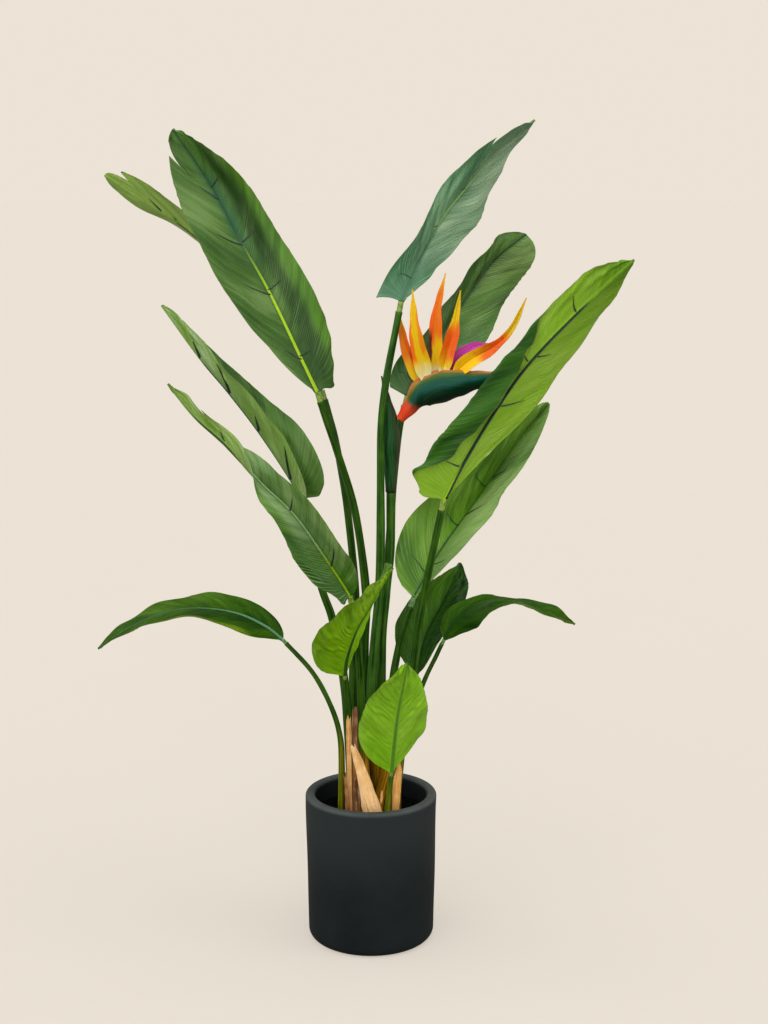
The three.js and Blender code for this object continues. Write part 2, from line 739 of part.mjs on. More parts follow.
function flower() {
  const sides = 12;
  const grown = (radii) => radii.map((r) => r + CLEARANCE);
  const bractCurve = curveThrough(BRACT_PATH);
  const direction = bractCurve.getTangentAt(0);
  const stemTop = bractCurve.getPointAt(0).addScaledVector(direction, -CLEARANCE).toArray();
  const stemPath = [...fromFoot(FLOWER_STEM), stemTop];
  const stem = tubeGeometry(stemPath, STALK_SIDES, 14, FLOWER_STEM_RADIUS, FLOWER_STEM_RADIUS, direction);
  add("flower_stem", stem, STALK_GREEN, 0.5);
  add("flower_bract", tubeGeometry(BRACT_PATH, sides, 11, BRACT_RADIUS), "#1f4a2a", 0.45);
  const largerBract = tubeGeometry(BRACT_PATH, sides, 11, grown(BRACT_RADIUS));
  const spathe = tubeGeometry(SPATHE_PATH, sides, 14, SPATHE_HEIGHT, SPATHE_DEPTH);
  add("flower_spathe", cutBy(spathe, largerBract), "#1c4436", 0.4);
  const largerSpathe = tubeGeometry(SPATHE_PATH, sides, 14, grown(SPATHE_HEIGHT), grown(SPATHE_DEPTH));
  for (const shape of [...SEPALS, PETAL]) {
    const color = shape === PETAL ? "#9a3f74" : "#e38a12";
    const whole = strip({ fold: [[28], [28]], ...shape }, SEPAL_THICKNESS, SEPAL_ROWS);
    add(shape.name, cutBy(whole, largerSpathe), color, 0.55);
  }
}

pot();
soil([
  ...LEAVES.map(({ large, stalk: points }) => ({
    points,
    radius: large ? LARGE_STALK_RADIUS[0] : SMALL_STALK_RADIUS[0],
  })),
  { points: FLOWER_STEM, radius: FLOWER_STEM_RADIUS[0] },
]);
LEAVES.forEach(leaf);
LEAVES.forEach(stalk);
drySheaths();
flower();

export default plant;
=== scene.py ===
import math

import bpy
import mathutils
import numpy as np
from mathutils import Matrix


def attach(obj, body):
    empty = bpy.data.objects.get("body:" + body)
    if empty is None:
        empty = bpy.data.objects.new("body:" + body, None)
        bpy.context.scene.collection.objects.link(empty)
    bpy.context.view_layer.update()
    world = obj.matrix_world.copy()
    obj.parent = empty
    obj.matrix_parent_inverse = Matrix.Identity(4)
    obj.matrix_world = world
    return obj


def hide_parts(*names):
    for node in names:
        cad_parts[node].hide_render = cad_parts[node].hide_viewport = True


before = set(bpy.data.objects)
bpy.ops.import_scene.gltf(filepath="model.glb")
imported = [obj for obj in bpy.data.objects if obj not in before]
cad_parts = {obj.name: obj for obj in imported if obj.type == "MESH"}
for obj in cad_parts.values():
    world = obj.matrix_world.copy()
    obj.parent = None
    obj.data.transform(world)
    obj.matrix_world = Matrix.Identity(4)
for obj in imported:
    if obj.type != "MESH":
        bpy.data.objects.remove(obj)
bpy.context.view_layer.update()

# The looks of a potted bird of paradise: thirteen blades on stalks, one flower, dry sheaths, soil and
# pot.
# Lengths are in millimetres until a mesh is made, and colours are display values of 0..255 until they
# are fed to a shader.  The shape values repeat those of the solids.

MM = 0.001
FRONT = np.array([0.0, -1.0, 0.0])
FULL_TURN = 2 * math.pi

# Pot and soil
POT_HEIGHT = 184
POT_RADIUS = 80
POT_FOOT_RADIUS = 77
POT_WALL = 12
POT_FOOT_ROUND = 11
POT_RIM_ROUND = 4
POT_FLOOR = 12
POT_FLOOR_ROUND = 6
POT_INNER_RADIUS = POT_RADIUS - POT_WALL
SOIL_BELOW_RIM = 24
SOIL_TOP = POT_HEIGHT - SOIL_BELOW_RIM
STEM_DEPTH = 34
STEM_FOOT = SOIL_TOP - STEM_DEPTH
CLEARANCE = 0.3
CRUMBS = 620
CRUMB_SIZES = (0.7, 2.4)

# Blades and stalks.  Where large and small ones differ, True is for the large ones.
BLADE_THICKNESS = 0.7
BLADE_ROWS = {True: 270, False: 180}
BEND_STEPS = 24
PLEAT_SPACING = {True: 8.5, False: 11.0}
RIB_RADIUS = {True: [3.5, 2.2], False: [2.6, 1.8]}
RIB_HEIGHT = 0.75
STALK_RADIUS = {True: [7.1, 6.9, 5.3, 4.5, 4.0], False: [4.3, 4.0, 3.0, 2.7]}
STALK_SIDES = 28
STALK_RING_SPACING = 3.5
STUB_RADIUS = {True: 3.3, False: 2.2}
SOCKET_DEPTH = {True: 12.0, False: 6.0}
FLOWER_STEM_RADIUS = [6.5, 6.2, 5.6, 5.4]
PETAL_THICKNESS = 1.1
SHEATH_THICKNESS = 0.6

# Each leaf.  rib: the midrib from stalk to tip.  half: greatest half width left and right of it.
# widest, base, tip: where that is and how bluntly each half rises to it and falls from it.
# margins: half widths at equal steps along the rib, for a half that has no such plain form.
# roll: turn about the rib in degrees, 0 with the upper face to the front.  fold: how far each half
# is raised at the rib, and curl: how far it bends on from there to its margin, in degrees.
# foot: how far each half hangs below the start of the rib, at its corner and midway to it.
# crease: a fold back along one half, at its place between rib and margin.
# stalk: its points above the soil.
LEAVES = {
    "01": dict(
        large=True,
        rib=[[-63, 20, 673], [-84, 32, 715], [-121, 52, 789], [-154, 66, 846], [-190, 80, 912],
             [-235, 92, 978]],
        half=[54, 49], widest=[0.36, 0.14], base=[0.76, 0.47], tip=[0.57, 0.41], roll=[-5, 24, -20],
        fold=[[24, 15, 20], [11, 9, 34]],
        margins=[None, [26, 38, 47, 51, 49, 48.5, 47.5, 47, 46.5, 45, 44, 42.5, 42, 40, 37.5, 35.5, 32, 29,
                        23.5, 16, 0.8]],
        curl=[[0], [-85, -50, -12, 0, 0, 0, 0, 0, 0]], foot=[[0, 0], [0, 3]],
        stalk=[[-8, -6, 160], [-10, -1, 230], [-10, 6, 300], [-8, 12, 370], [-6, 16, 432],
               [-19, 18, 530], [-40, 19, 602], [-53, 20, 640]],
    ),
    "02": dict(
        large=True,
        rib=[[-59, 60, 670], [-98, 85, 721], [-165, 110, 805], [-224, 125, 860], [-280, 135, 894],
             [-325, 142, 924]],
        half=[50, 46], widest=[0.46, 0.41], base=[0.5, 0.5], tip=[0.45, 0.36], roll=[150, 119, 117],
        fold=[[14, -10, 20], [14, 20, 0]],
        stalk=[[-14, 10, 160], [-18, 14, 230], [-21, 22, 300], [-20, 30, 370], [-19, 36, 430],
               [-28, 42, 525], [-41, 52, 604], [-50, 56, 640]],
    ),
    "03": dict(
        large=True,
        rib=[[-80, -20, 552], [-91, -26, 574], [-127, -44, 635], [-160, -60, 683], [-190, -74, 723],
             [-230, -92, 784]],
        half=[38, 42], widest=[0.1, 0.1], base=[0.48, 0.2], tip=[0.72, 1.0], roll=[47, 95, 104],
        fold=[[66, 30, 46], [58, 38, 37]], foot=[[0, 0], [0, 7]],
        stalk=[[-22, -13, 160], [-24, -12, 230], [-29, -11, 300], [-38, -11, 370], [-47, -11, 409],
               [-58, -13, 442], [-72, -16, 500]],
    ),
    "04": dict(
        large=True,
        rib=[[-24, -58, 444], [-44, -66, 479], [-84, -82, 542], [-123, -94, 584], [-160, -104, 628],
             [-194, -112, 662], [-222, -120, 700]],
        half=[36, 32], widest=[0.16, 0.12], base=[0.2, 0.5], tip=[1.2, 1.4],
        margins=[[18, 34, 36, 34, 31, 24, 15, 13, 13, 10, 0.8], None],
        roll=[22, 2, 10, 128, 128], fold=[[30, 56, 28], [45, 28, 50]], foot=[[-3, 4], [0, 3]],
        stalk=[[-8, -22, 160], [-9, -26, 230], [-11, -36, 300], [-14, -47, 370], [-18, -53, 410]],
    ),
    "05": dict(
        large=False,
        rib=[[-105, -22, 382], [-126, -20, 398], [-161, -17, 413], [-207, -14, 418],
             [-251, -10, 410], [-294, -6, 389], [-328, -4, 366]],
        half=[36, 40], widest=[0.16, 0.37], base=[0.84, 0.46], tip=[0.62, 0.67], roll=[55, 79, 89],
        fold=[[6, 7, 0], [2, 0, 14]],
        stalk=[[-36, -24, 160], [-35, -28, 228], [-37, -30, 265], [-47, -29, 300], [-69, -26, 342]],
    ),
    "06": dict(
        large=False,
        rib=[[-30, -62, 350], [-27, -78, 375], [-16, -106, 415], [1, -132, 452], [25, -162, 501]],
        half=[43, 48], widest=[0.39, 0.19], base=[0.62, 0.31], tip=[0.62, 0.67],
        roll=[224, 233, 253], fold=[[16, 27, 31], [35, 14, 13]],
        stalk=[[-23, -28, 160], [-25, -30, 230], [-28, -36, 290], [-30, -48, 325]],
    ),
    "07": dict(
        large=False,
        rib=[[25, -62, 231], [28, -92, 278], [32, -126, 325], [37, -154, 364], [41, -176, 397]],
        half=[40, 44], widest=[0.23, 0.14], base=[0.78, 0.41], tip=[0.98, 0.81],
        roll=[191, 192, 210], fold=[[20, 10, 14], [26, 15, 5]],
        stalk=[[20, -32, 160], [21, -40, 190], [23, -51, 213]],
    ),
    "08": dict(
        large=True,
        rib=[[36, 14, 780], [55, 36, 823], [83, 64, 872], [114, 88, 910], [156, 118, 956],
             [199, 140, 989]],
        half=[34, 51], widest=[0.6, 0.46], base=[0.1, 0.68], tip=[0.58, 0.82], foot=[[7, 0], [0, 0]],
        margins=[[29, 26, 27, 31, 33, 34, 34, 32, 27, 18, 0.8], None],
        roll=[-25, 44, 44, 58, 54], fold=[[16, 0, 20], [10, 6, -10]],
        stalk=[[7, -2, 160], [5, -4, 230], [1, -4, 300], [5, -1, 370], [10, 4, 430], [12, 4, 500],
               [12, 5, 580], [13, 6, 640], [19, 8, 691], [29, 11, 744]],
    ),
    "09": dict(
        large=True,
        rib=[[44, 60, 663], [63, 82, 703], [90, 104, 739], [119, 128, 779], [152, 152, 820],
             [193, 172, 851]],
        half=[35, 54], widest=[0.57, 0.2], base=[0.1, 0.5], tip=[0.7, 0.3],
        roll=[-40, 32, 40, 46, 10], fold=[[22, 16, 0], [50, 22, 32]],
        stalk=[[16, 20, 160], [14, 29, 230], [12, 36, 300], [13, 42, 370], [18, 46, 430],
               [24, 50, 510], [28, 53, 566], [35, 56, 626]],
    ),
    "10": dict(
        large=True,
        rib=[[85, -50, 556], [107, -58, 602], [140, -70, 661], [177, -82, 717], [229, -94, 775],
             [290, -104, 835]],
        half=[53, 60], widest=[0.41, 0.25], base=[0.88, 0.15], tip=[0.69, 0.58],
        margins=[None, [34, 62, 74, 74, 74, 70, 65, 60, 55, 46, 38, 34, 31, 30, 30, 30, 30, 26, 19, 11,
                        0.8]],
        roll=[214, 200, 222], fold=[[1, 21, 9], [10, 6, 24]], foot=[[0, 0], [0, 3]],
        crease=dict(side=1, turn=-165, soft=0.06,
                    place=[1.1, 0.62, 0.55, 0.52, 0.53, 0.68, 0.95, 1.2, 1.2, 1.2, 1.2]),
        stalk=[[8, -18, 160], [14, -20, 200], [26, -24, 250], [39, -30, 300], [51, -36, 351],
               [58, -40, 415], [72, -46, 490]],
    ),
    "11": dict(
        large=True,
        rib=[[52, 10, 426], [79, 26, 471], [123, 52, 529], [153, 70, 569], [184, 88, 610],
             [219, 104, 648]],
        half=[54, 46], widest=[0.14, 0.36], base=[0.44, 1.0], tip=[0.49, 0.64],
        roll=[-32, -45, -9, 2, -6], fold=[[29, 58, 64], [0, 64, 60]],
        stalk=[[22, -4, 160], [23, -4, 200], [24, -2, 249], [25, 2, 300], [28, 2, 335],
               [38, 5, 384]],
    ),
    "12": dict(
        large=False,
        rib=[[56, 20, 328], [67, 44, 367], [85, 66, 398], [103, 86, 429], [112, 98, 448]],
        half=[42, 34], widest=[0.18, 0.18], base=[0.6, 0.4], tip=[0.62, 0.75], roll=[-32, -20, 36],
        fold=[[29, 37, 34], [37, 37, 35]],
        stalk=[[32, 5, 160], [35, 10, 200], [41, 14, 244], [53, 17, 300]],
    ),
    "13": dict(
        large=False,
        rib=[[88, -10, 379], [104, -14, 406], [138, -18, 426], [171, -20, 427], [209, -22, 416],
             [243, -22, 401]],
        half=[30, 46], widest=[0.4, 0.3], base=[0.2, 0.7], tip=[1.0, 0.63], roll=[-60, -80, -64],
        fold=[[0, -14, 14], [-14, 24, 32]],
        stalk=[[33, -13, 160], [33, -12, 200], [38, -10, 245], [62, -3, 318], [79, -7, 358]],
    ),
}

# Dry sheaths and loose strips.  profile: half widths from foot to top.  top: how far each part of the
# top edge falls short, as shares of the length.  pinch: how deep its lengthwise folds are.
# look: which paper.
DRY_SHEATHS = {
    "1": dict(rib=[[-24, -44, 150], [-25, -45, 200], [-26, -48, 250], [-26, -52, 298]],
              profile=[2, 2.4, 3.0, 3.2, 3.2, 2.8], roll=[-14], curl=[[-35], [-30]],
              top=[0.04, 0.0, 0.03, 0.01], pinch=0.7, look="tan"),
    "2": dict(rib=[[8, -50, 148], [-3, -52, 196], [-13, -52, 234], [-22, -52, 262]],
              profile=[13.5, 12, 9, 6, 3.5], roll=[0], curl=[[-35], [-35]],
              top=[0.02, 0.0, 0.03, 0.0], pinch=0.5, look="pale"),
    "3": dict(rib=[[28.5, -29, 148], [31, -30, 190], [33, -30, 213], [35.5, -30, 234]],
              profile=[3.8, 5, 5.5, 2.5], roll=[10], curl=[[-40], [-40]],
              top=[0.08, 0.0, 0.05, 0.12], pinch=0.6, look="orange"),
    "4": dict(rib=[[-28, -50, 148], [-28, -51, 190], [-31, -51, 224]],
              profile=[2.6, 2.8, 1.5], roll=[0], curl=[[-20], [-20]],
              top=[0.0, 0.05, 0.0], pinch=0.5, look="brown"),
    "5": dict(rib=[[-6, 31, 148], [-8, 33, 220], [-5, 34, 282]],
              profile=[12, 11, 8, 5], roll=[180], curl=[[-50], [-50]],
              top=[0.06, 0.0, 0.08, 0.03, 0.1], pinch=1.0, look="tan"),
}
LOOSE_STRIPS = [
    dict(rib=[[-18.5, -46, 215], [-18.5, -48, 255], [-18.5, -53, 309]],
         profile=[1.5, 3.2, 3.4, 3], roll=[-6], curl=[[-40], [-35]],
         top=[0.05, 0.02, 0.0, 0.03], pinch=0.9, look="brown"),
    dict(rib=[[-17, -43, 150], [-17, -44, 190], [-18, -45, 226]],
         profile=[4.6, 4.4, 3.4], roll=[0], curl=[[-30], [-30]],
         top=[0.02, 0.0, 0.05], pinch=0.8, look="brown"),
    dict(rib=[[12, -50, 186], [13, -50, 194], [13.5, -50, 203]],
         profile=[0.8, 1.4, 0.8], roll=[0], curl=[[-30], [-30]],
         top=[0.0, 0.1, 0.0], pinch=0.2, look="pale"),
]

# The flower: its stem, bract and spathe, then its sepals and petal, whose profile is their half widths.
FLOWER_STEM = [[2, 14, 160], [8, 14, 230], [12, 15, 300], [13, 15, 370], [18, 14, 430], [23, 14, 480],
               [24, 14, 520]]
BRACT_PATH = [[24, 14, 554], [24, 15, 580], [25, 16, 616], [23, 17, 646], [18, 18, 670], [13, 18, 692]]
BRACT_RADIUS = [6.4, 7.6, 10.5, 8.6, 4.6, 0.9]
SPATHE_PATH = [[35, 15, 641], [47, 14, 656], [60, 14, 671], [82, 13, 680], [106, 12, 685],
               [129, 10, 689], [148, 8, 693], [166, 6, 698]]
SPATHE_HEIGHT = [5.6, 9.5, 17.5, 19.5, 16, 11, 6.5, 1.2]
SPATHE_DEPTH = [5.4, 8, 10.5, 11.5, 10, 7.5, 4.5, 1.0]
SEPALS = {
    "1": dict(rib=[[64, 18, 676], [49, 18, 706], [40, 20, 733], [35, 22, 762]],
              profile=[3, 8.5, 7.5, 5.5, 0.8], roll=[-20]),
    "2": dict(rib=[[68, 14, 676], [59, 9, 712], [52, 6, 745], [49, 6, 794]],
              profile=[2, 11.5, 9.5, 5, 0.8], roll=[10, 0]),
    "3": dict(rib=[[76, 20, 684], [77.5, 22, 722], [78, 24, 765], [88, 28, 812]],
              profile=[7.5, 9, 8.5, 4.5, 0.8], roll=[-10]),
    "4": dict(rib=[[83, 12, 686], [89, 12, 718], [97, 11, 748], [105, 10, 793]],
              profile=[4, 9.5, 9, 4, 0.8], roll=[10]),
    "5": dict(rib=[[93, 16, 686], [113, 8, 709], [146, -3, 730.5], [165, -8, 752], [180, -12, 786]],
              profile=[2, 10.5, 9.5, 5, 3.5, 0.8], roll=[-6]),
}
PETAL = dict(rib=[[91, 19, 688], [105, 22, 713], [121, 23, 725], [138, 22, 730]],
             profile=[4, 8.5, 9, 6, 1], roll=[-30])


def eased(values, t):
    """Values at equal steps over 0..1, eased from each to the next."""
    v = np.asarray(values, float)
    if len(v) == 1:
        return np.full(np.shape(t), v[0])
    x = np.clip(t, 0, 1) * (len(v) - 1)
    i = np.minimum(x.astype(int), len(v) - 2)
    w = x - i
    w = w * w * (3 - 2 * w)
    return v[i] * (1 - w) + v[i + 1] * w


def smooth_step(low, high, x):
    """0 at low and 1 at high, eased between them."""
    w = np.clip((x - low) / (high - low), 0, 1)
    return w * w * (3 - 2 * w)


class Path:
    """A smooth curve through points, read by its share of length."""

    def __init__(self, points, samples=600):
        p = np.asarray(points, float)
        p = np.vstack([2 * p[0] - p[1], p, 2 * p[-1] - p[-2]])
        spans = len(p) - 3
        t = np.linspace(0, spans, samples)
        i = np.minimum(t.astype(int), spans - 1)
        w = (t - i)[:, None]
        a, b, c, d = p[i], p[i + 1], p[i + 2], p[i + 3]
        self.points = 0.5 * (
            2 * b + (c - a) * w + (2 * a - 5 * b + 4 * c - d) * w**2 + (3 * b - a - 3 * c + d) * w**3
        )
        steps = np.linalg.norm(np.diff(self.points, axis=0), axis=1)
        s = np.concatenate([[0], np.cumsum(steps)])
        self.length = s[-1]
        self.share = s / s[-1]
        self.tangents = np.gradient(self.points, self.share, axis=0)

    def at(self, u):
        u = np.clip(u, 0, 1)
        point = np.stack([np.interp(u, self.share, self.points[:, k]) for k in range(3)], -1)
        along = np.stack([np.interp(u, self.share, self.tangents[:, k]) for k in range(3)], -1)
        return point, along / np.linalg.norm(along, axis=-1, keepdims=True)


def unit(v):
    return v / np.maximum(np.linalg.norm(v, axis=-1, keepdims=True), 1e-12)


def ripple(seed, u, v, count, low, high):
    """A smooth seeded unevenness of about -1..1 over two coordinates: a sum of long waves."""
    rng = np.random.default_rng(seed)
    total = 0
    for _ in range(count):
        fu, fv = rng.uniform(low, high), rng.uniform(low, high) * rng.choice([-1, 1])
        total = total + np.sin(FULL_TURN * (fu * u + fv * v + rng.random()))
    return total / math.sqrt(count)


def circle(sides):
    """The angles of points evenly spaced round a circle."""
    return FULL_TURN * np.arange(sides) / sides


# Meshes

def make(name, body, materials, lengths=None, shares=None, slots=None, sharp=None):
    """A mesh object from points in millimetres and quads; faces with equal last corners are triangles."""
    points, faces = body
    mesh = bpy.data.meshes.new(name)
    sizes = np.where(faces[:, 2] == faces[:, 3], 3, 4)
    loops = faces[np.arange(4)[None, :] < sizes[:, None]]
    mesh.vertices.add(len(points))
    mesh.vertices.foreach_set("co", (points * MM).astype(np.float32).ravel())
    mesh.loops.add(len(loops))
    mesh.loops.foreach_set("vertex_index", loops.astype(np.int32))
    mesh.polygons.add(len(faces))
    mesh.polygons.foreach_set("loop_start", np.concatenate([[0], np.cumsum(sizes)[:-1]]).astype(np.int32))
    if slots is not None:
        mesh.polygons.foreach_set("material_index", slots.astype(np.int32))
    mesh.update(calc_edges=True)
    for label, values in (("lengths", lengths), ("shares", shares)):
        if values is not None:
            layer = mesh.uv_layers.new(name=label)
            layer.uv.foreach_set("vector", values[loops].astype(np.float32).ravel())
    mesh.polygons.foreach_set("use_smooth", np.ones(len(faces), bool))
    if sharp is not None:
        ends = np.empty(len(mesh.edges) * 2, np.int32)
        mesh.edges.foreach_get("vertices", ends)
        ends = ends.reshape(-1, 2)
        marked = sharp[ends[:, 0]] & sharp[ends[:, 1]]
        mesh.attributes.new("sharp_edge", "BOOLEAN", "EDGE").data.foreach_set("value", marked)
    mesh.validate()
    piece = bpy.data.objects.new(name, mesh)
    bpy.context.scene.collection.objects.link(piece)
    for material in materials:
        mesh.materials.append(material)
    return piece


def settle(piece, slot, *nodes):
    """Joins a finished piece to the part: its body and the solids it stands for; its material slot is not
    used.
    """
    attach(piece, "root")
    if nodes:
        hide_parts(*nodes)


def grid_quads(rows, columns, around=False):
    """The quads of a grid of points that are numbered row by row."""
    i, j = np.meshgrid(np.arange(rows - 1), np.arange(columns if around else columns - 1), indexing="ij")
    row, after = i * columns, (j + 1) % columns
    corners = [row + j, row + after, row + columns + after, row + columns + j]
    return np.stack(corners, -1).reshape(-1, 4)


def sheet(upper, lower):
    """A closed thin body between two grids of points, its rim's corners, and its faces' kinds."""
    rows, columns = upper.shape[:2]
    count = rows * columns
    quads = grid_quads(rows, columns)
    at = np.arange(count).reshape(rows, columns)
    rim = np.concatenate([at[0, :-1], at[:-1, -1], at[-1, :0:-1], at[:0:-1, 0]])
    after = np.roll(rim, -1)
    walls = np.stack([rim, rim + count, after + count, after], -1)
    faces = np.concatenate([quads, quads[:, ::-1] + count, walls])
    kinds = np.concatenate([np.zeros(len(quads)), np.ones(len(quads)), np.full(len(walls), 2)])
    on_rim = np.zeros(2 * count, bool)
    on_rim[rim] = True
    on_rim[rim + count] = True
    points = np.concatenate([upper.reshape(-1, 3), lower.reshape(-1, 3)])
    return (points, faces), on_rim, kinds


def loft(rings):
    """A closed body through rings of points, rounded off by a fan at each end."""
    rows, sides = rings.shape[:2]
    points = np.concatenate([rings.reshape(-1, 3), rings[0].mean(0)[None], rings[-1].mean(0)[None]])
    first = np.arange(sides)
    after = (first + 1) % sides
    last = (rows - 1) * sides
    hub = np.full(sides, rows * sides)
    return points, np.concatenate([
        grid_quads(rows, sides, around=True),
        np.stack([after, first, hub, hub], -1),
        np.stack([last + first, last + after, hub + 1, hub + 1], -1),
    ])


def both_faces(a, b):
    """Map coordinates for the two faces of a sheet."""
    return np.tile(np.stack([a.ravel(), b.ravel()], -1), (2, 1))


def joined(bodies):
    """Several bodies as one, with each one's number for every face."""
    points, faces, kinds, start = [], [], [], 0
    for n, (p, f) in enumerate(bodies):
        points.append(p)
        faces.append(f + start)
        kinds.append(np.full(len(f), n))
        start += len(p)
    return (np.concatenate(points), np.concatenate(faces)), np.concatenate(kinds)


def tube_rings(path, u, height, depth=None, sides=24, section=None):
    """Rings round a path.  height and depth are half sizes upward and to the front at each u."""
    centre, along = path.at(u)
    away = unit(FRONT - (along @ FRONT)[:, None] * along)
    up = np.cross(away, along)
    depth = height if depth is None else depth
    angle = circle(sides)
    scale = np.ones((len(u), sides)) if section is None else section(u[:, None], angle[None, :])
    rise = (np.cos(angle)[None, :] * height[:, None] * scale)[..., None]
    out = (np.sin(angle)[None, :] * depth[:, None] * scale)[..., None]
    return centre[:, None] + rise * up[:, None] + out * away[:, None]


# Blades

def half_width(leaf, side, t):
    """Half widths at shares t of the rib, left of it (side 0) or right of it (side 1)."""
    if "profile" in leaf:
        return eased(leaf["profile"], t)
    if leaf["margins"][side]:
        return eased(leaf["margins"][side], t)
    widest = leaf["widest"][side]
    rising = np.sin(np.clip(t / widest, 0, 1) * math.pi / 2) ** leaf["base"][side]
    falling = np.maximum(np.cos(np.clip((t - widest) / (1 - widest), 0, 1) * math.pi / 2), 0)
    shape = np.where(t < widest, rising, falling ** leaf["tip"][side])
    return np.maximum(leaf["half"][side] * shape, leaf["stub"] * (1 - t) + 0.7 * t)


def blade_surface(leaf, path, t, c):
    """Points and normals of a blade's middle surface, with each point's distance from the rib."""
    v = np.abs(c)
    left = c < 0
    sign = np.where(left, -1.0, 1.0)
    width = np.where(left, half_width(leaf, 0, t), half_width(leaf, 1, t))
    widest = np.where(left, leaf["half"][0], leaf["half"][1])
    lean = leaf["slant"] * v**1.4 * widest / path.length
    place = np.clip(t + lean * np.minimum(1, t / 0.12) * np.minimum(1, (1 - t) / 0.3), 0, 1)
    point, along = path.at(place)
    facing = unit(FRONT - (along @ FRONT)[..., None] * along)
    across = np.cross(along, facing)
    roll = np.radians(eased(leaf["roll"], place))[..., None]
    normal = facing * np.cos(roll) + across * np.sin(roll)
    right = np.cross(along, normal)
    fold = np.radians(np.where(left, eased(leaf["fold"][0], t), eased(leaf["fold"][1], t)))
    curl = np.radians(np.where(left, eased(leaf["curl"][0], t), eased(leaf["curl"][1], t)))
    crease = leaf.get("crease")
    out, rise = np.zeros_like(v), np.zeros_like(v)

    def angle_at(x):
        angle = fold + curl * x
        if crease:
            turn = smooth_step(-crease["soft"], crease["soft"], x - eased(crease["place"], t))
            angle = angle + np.where(sign == crease["side"], math.radians(crease["turn"]) * turn, 0)
        return angle

    for k in range(BEND_STEPS):
        angle = angle_at(v * (k + 0.5) / BEND_STEPS)
        out += np.cos(angle) * v / BEND_STEPS
        rise += np.sin(angle) * v / BEND_STEPS
    phase = FULL_TURN * (leaf["waves"] * t + leaf["phase"] + 0.25 * (sign > 0))
    fade = np.minimum(1, t / 0.15) * np.minimum(1, (1 - t) / 0.1 + 0.3)
    wave = leaf["wave"] * v * v * np.sin(phase) * fade
    corner, middle = [np.where(left, leaf["foot"][0][k], leaf["foot"][1][k]) for k in (0, 1)]
    drop = (corner * v**3 + middle * np.sin(math.pi * v**2)) * np.exp(-((t / 0.05) ** 2))
    drop = drop * smooth_step(7, 18, v * width)
    point = point - drop[..., None] * along
    point = point + (sign * out * width)[..., None] * right + (rise * width + wave)[..., None] * normal
    last = np.where(v == 0, 0, angle_at(v))[..., None]
    tilted = normal * np.cos(last) - right * (sign[..., None] * np.sin(last))
    return point, tilted, v * width


def blade_values(shape, index):
    """A blade's values with those that most blades share."""
    common = dict(slant=0.55, wave=1.2, waves=4, phase=0.17 * index, curl=[[0], [0]], foot=[[0, 0], [0, 0]],
                  margins=[None, None], stub=RIB_RADIUS[shape["large"]][0])
    return {**common, **shape}


def strip_values(shape, **values):
    """The values of a petal or sheath, with those that they share."""
    common = dict(slant=0, foot=[[0, 0], [0, 0]], stub=0, half=[shape["profile"][1]] * 2)
    return {**common, **values, **shape}


def rib_radius(large, t):
    """The rib's radius at shares t of its length."""
    return RIB_RADIUS[large][0] * (1 - t) + RIB_RADIUS[large][1] * t


def veined(leaf, path, t, c):
    """The blade's surface where every row of equal t is a side vein, with slits and an uneven margin."""
    side = np.where(c < 0, -1, 1)
    v = np.abs(c)
    half = np.where(c < 0, leaf["half"][0], leaf["half"][1])
    reach = 1 - 0.012 * np.abs(ripple(leaf["seed"] + 7, t * 6, c, 4, 0.6, 2.2)) * smooth_step(0, 0.1, t)
    for slit_side, at, depth, length, _ in leaf["slits"]:
        beyond = (t - at) / length
        open_part = np.where((beyond > 0) & (beyond < 1), (1 - np.clip(beyond, 0, 1)) ** 1.4, 0)
        reach = np.where(side == slit_side, np.minimum(reach, 1 - depth * open_part), reach)
    extra = np.where(c < 0, leaf["lean"][0], leaf["lean"][1]) * (v * reach) ** 1.1 * half / path.length
    near_tip = np.minimum(1, (1 - t) / np.maximum(0.15, 1.3 * extra))
    place = t + extra * np.minimum(1, t / 0.1) * near_tip
    for slit_side, at, _, _, sweep in leaf["slits"]:
        swept = sweep * (v * reach) ** 4 * np.exp(-(((t - at) / 0.08) ** 2)) / path.length
        place = place + np.where(side == slit_side, swept, 0)
    return blade_surface(leaf, path, np.clip(place, 0, 1), c * reach)


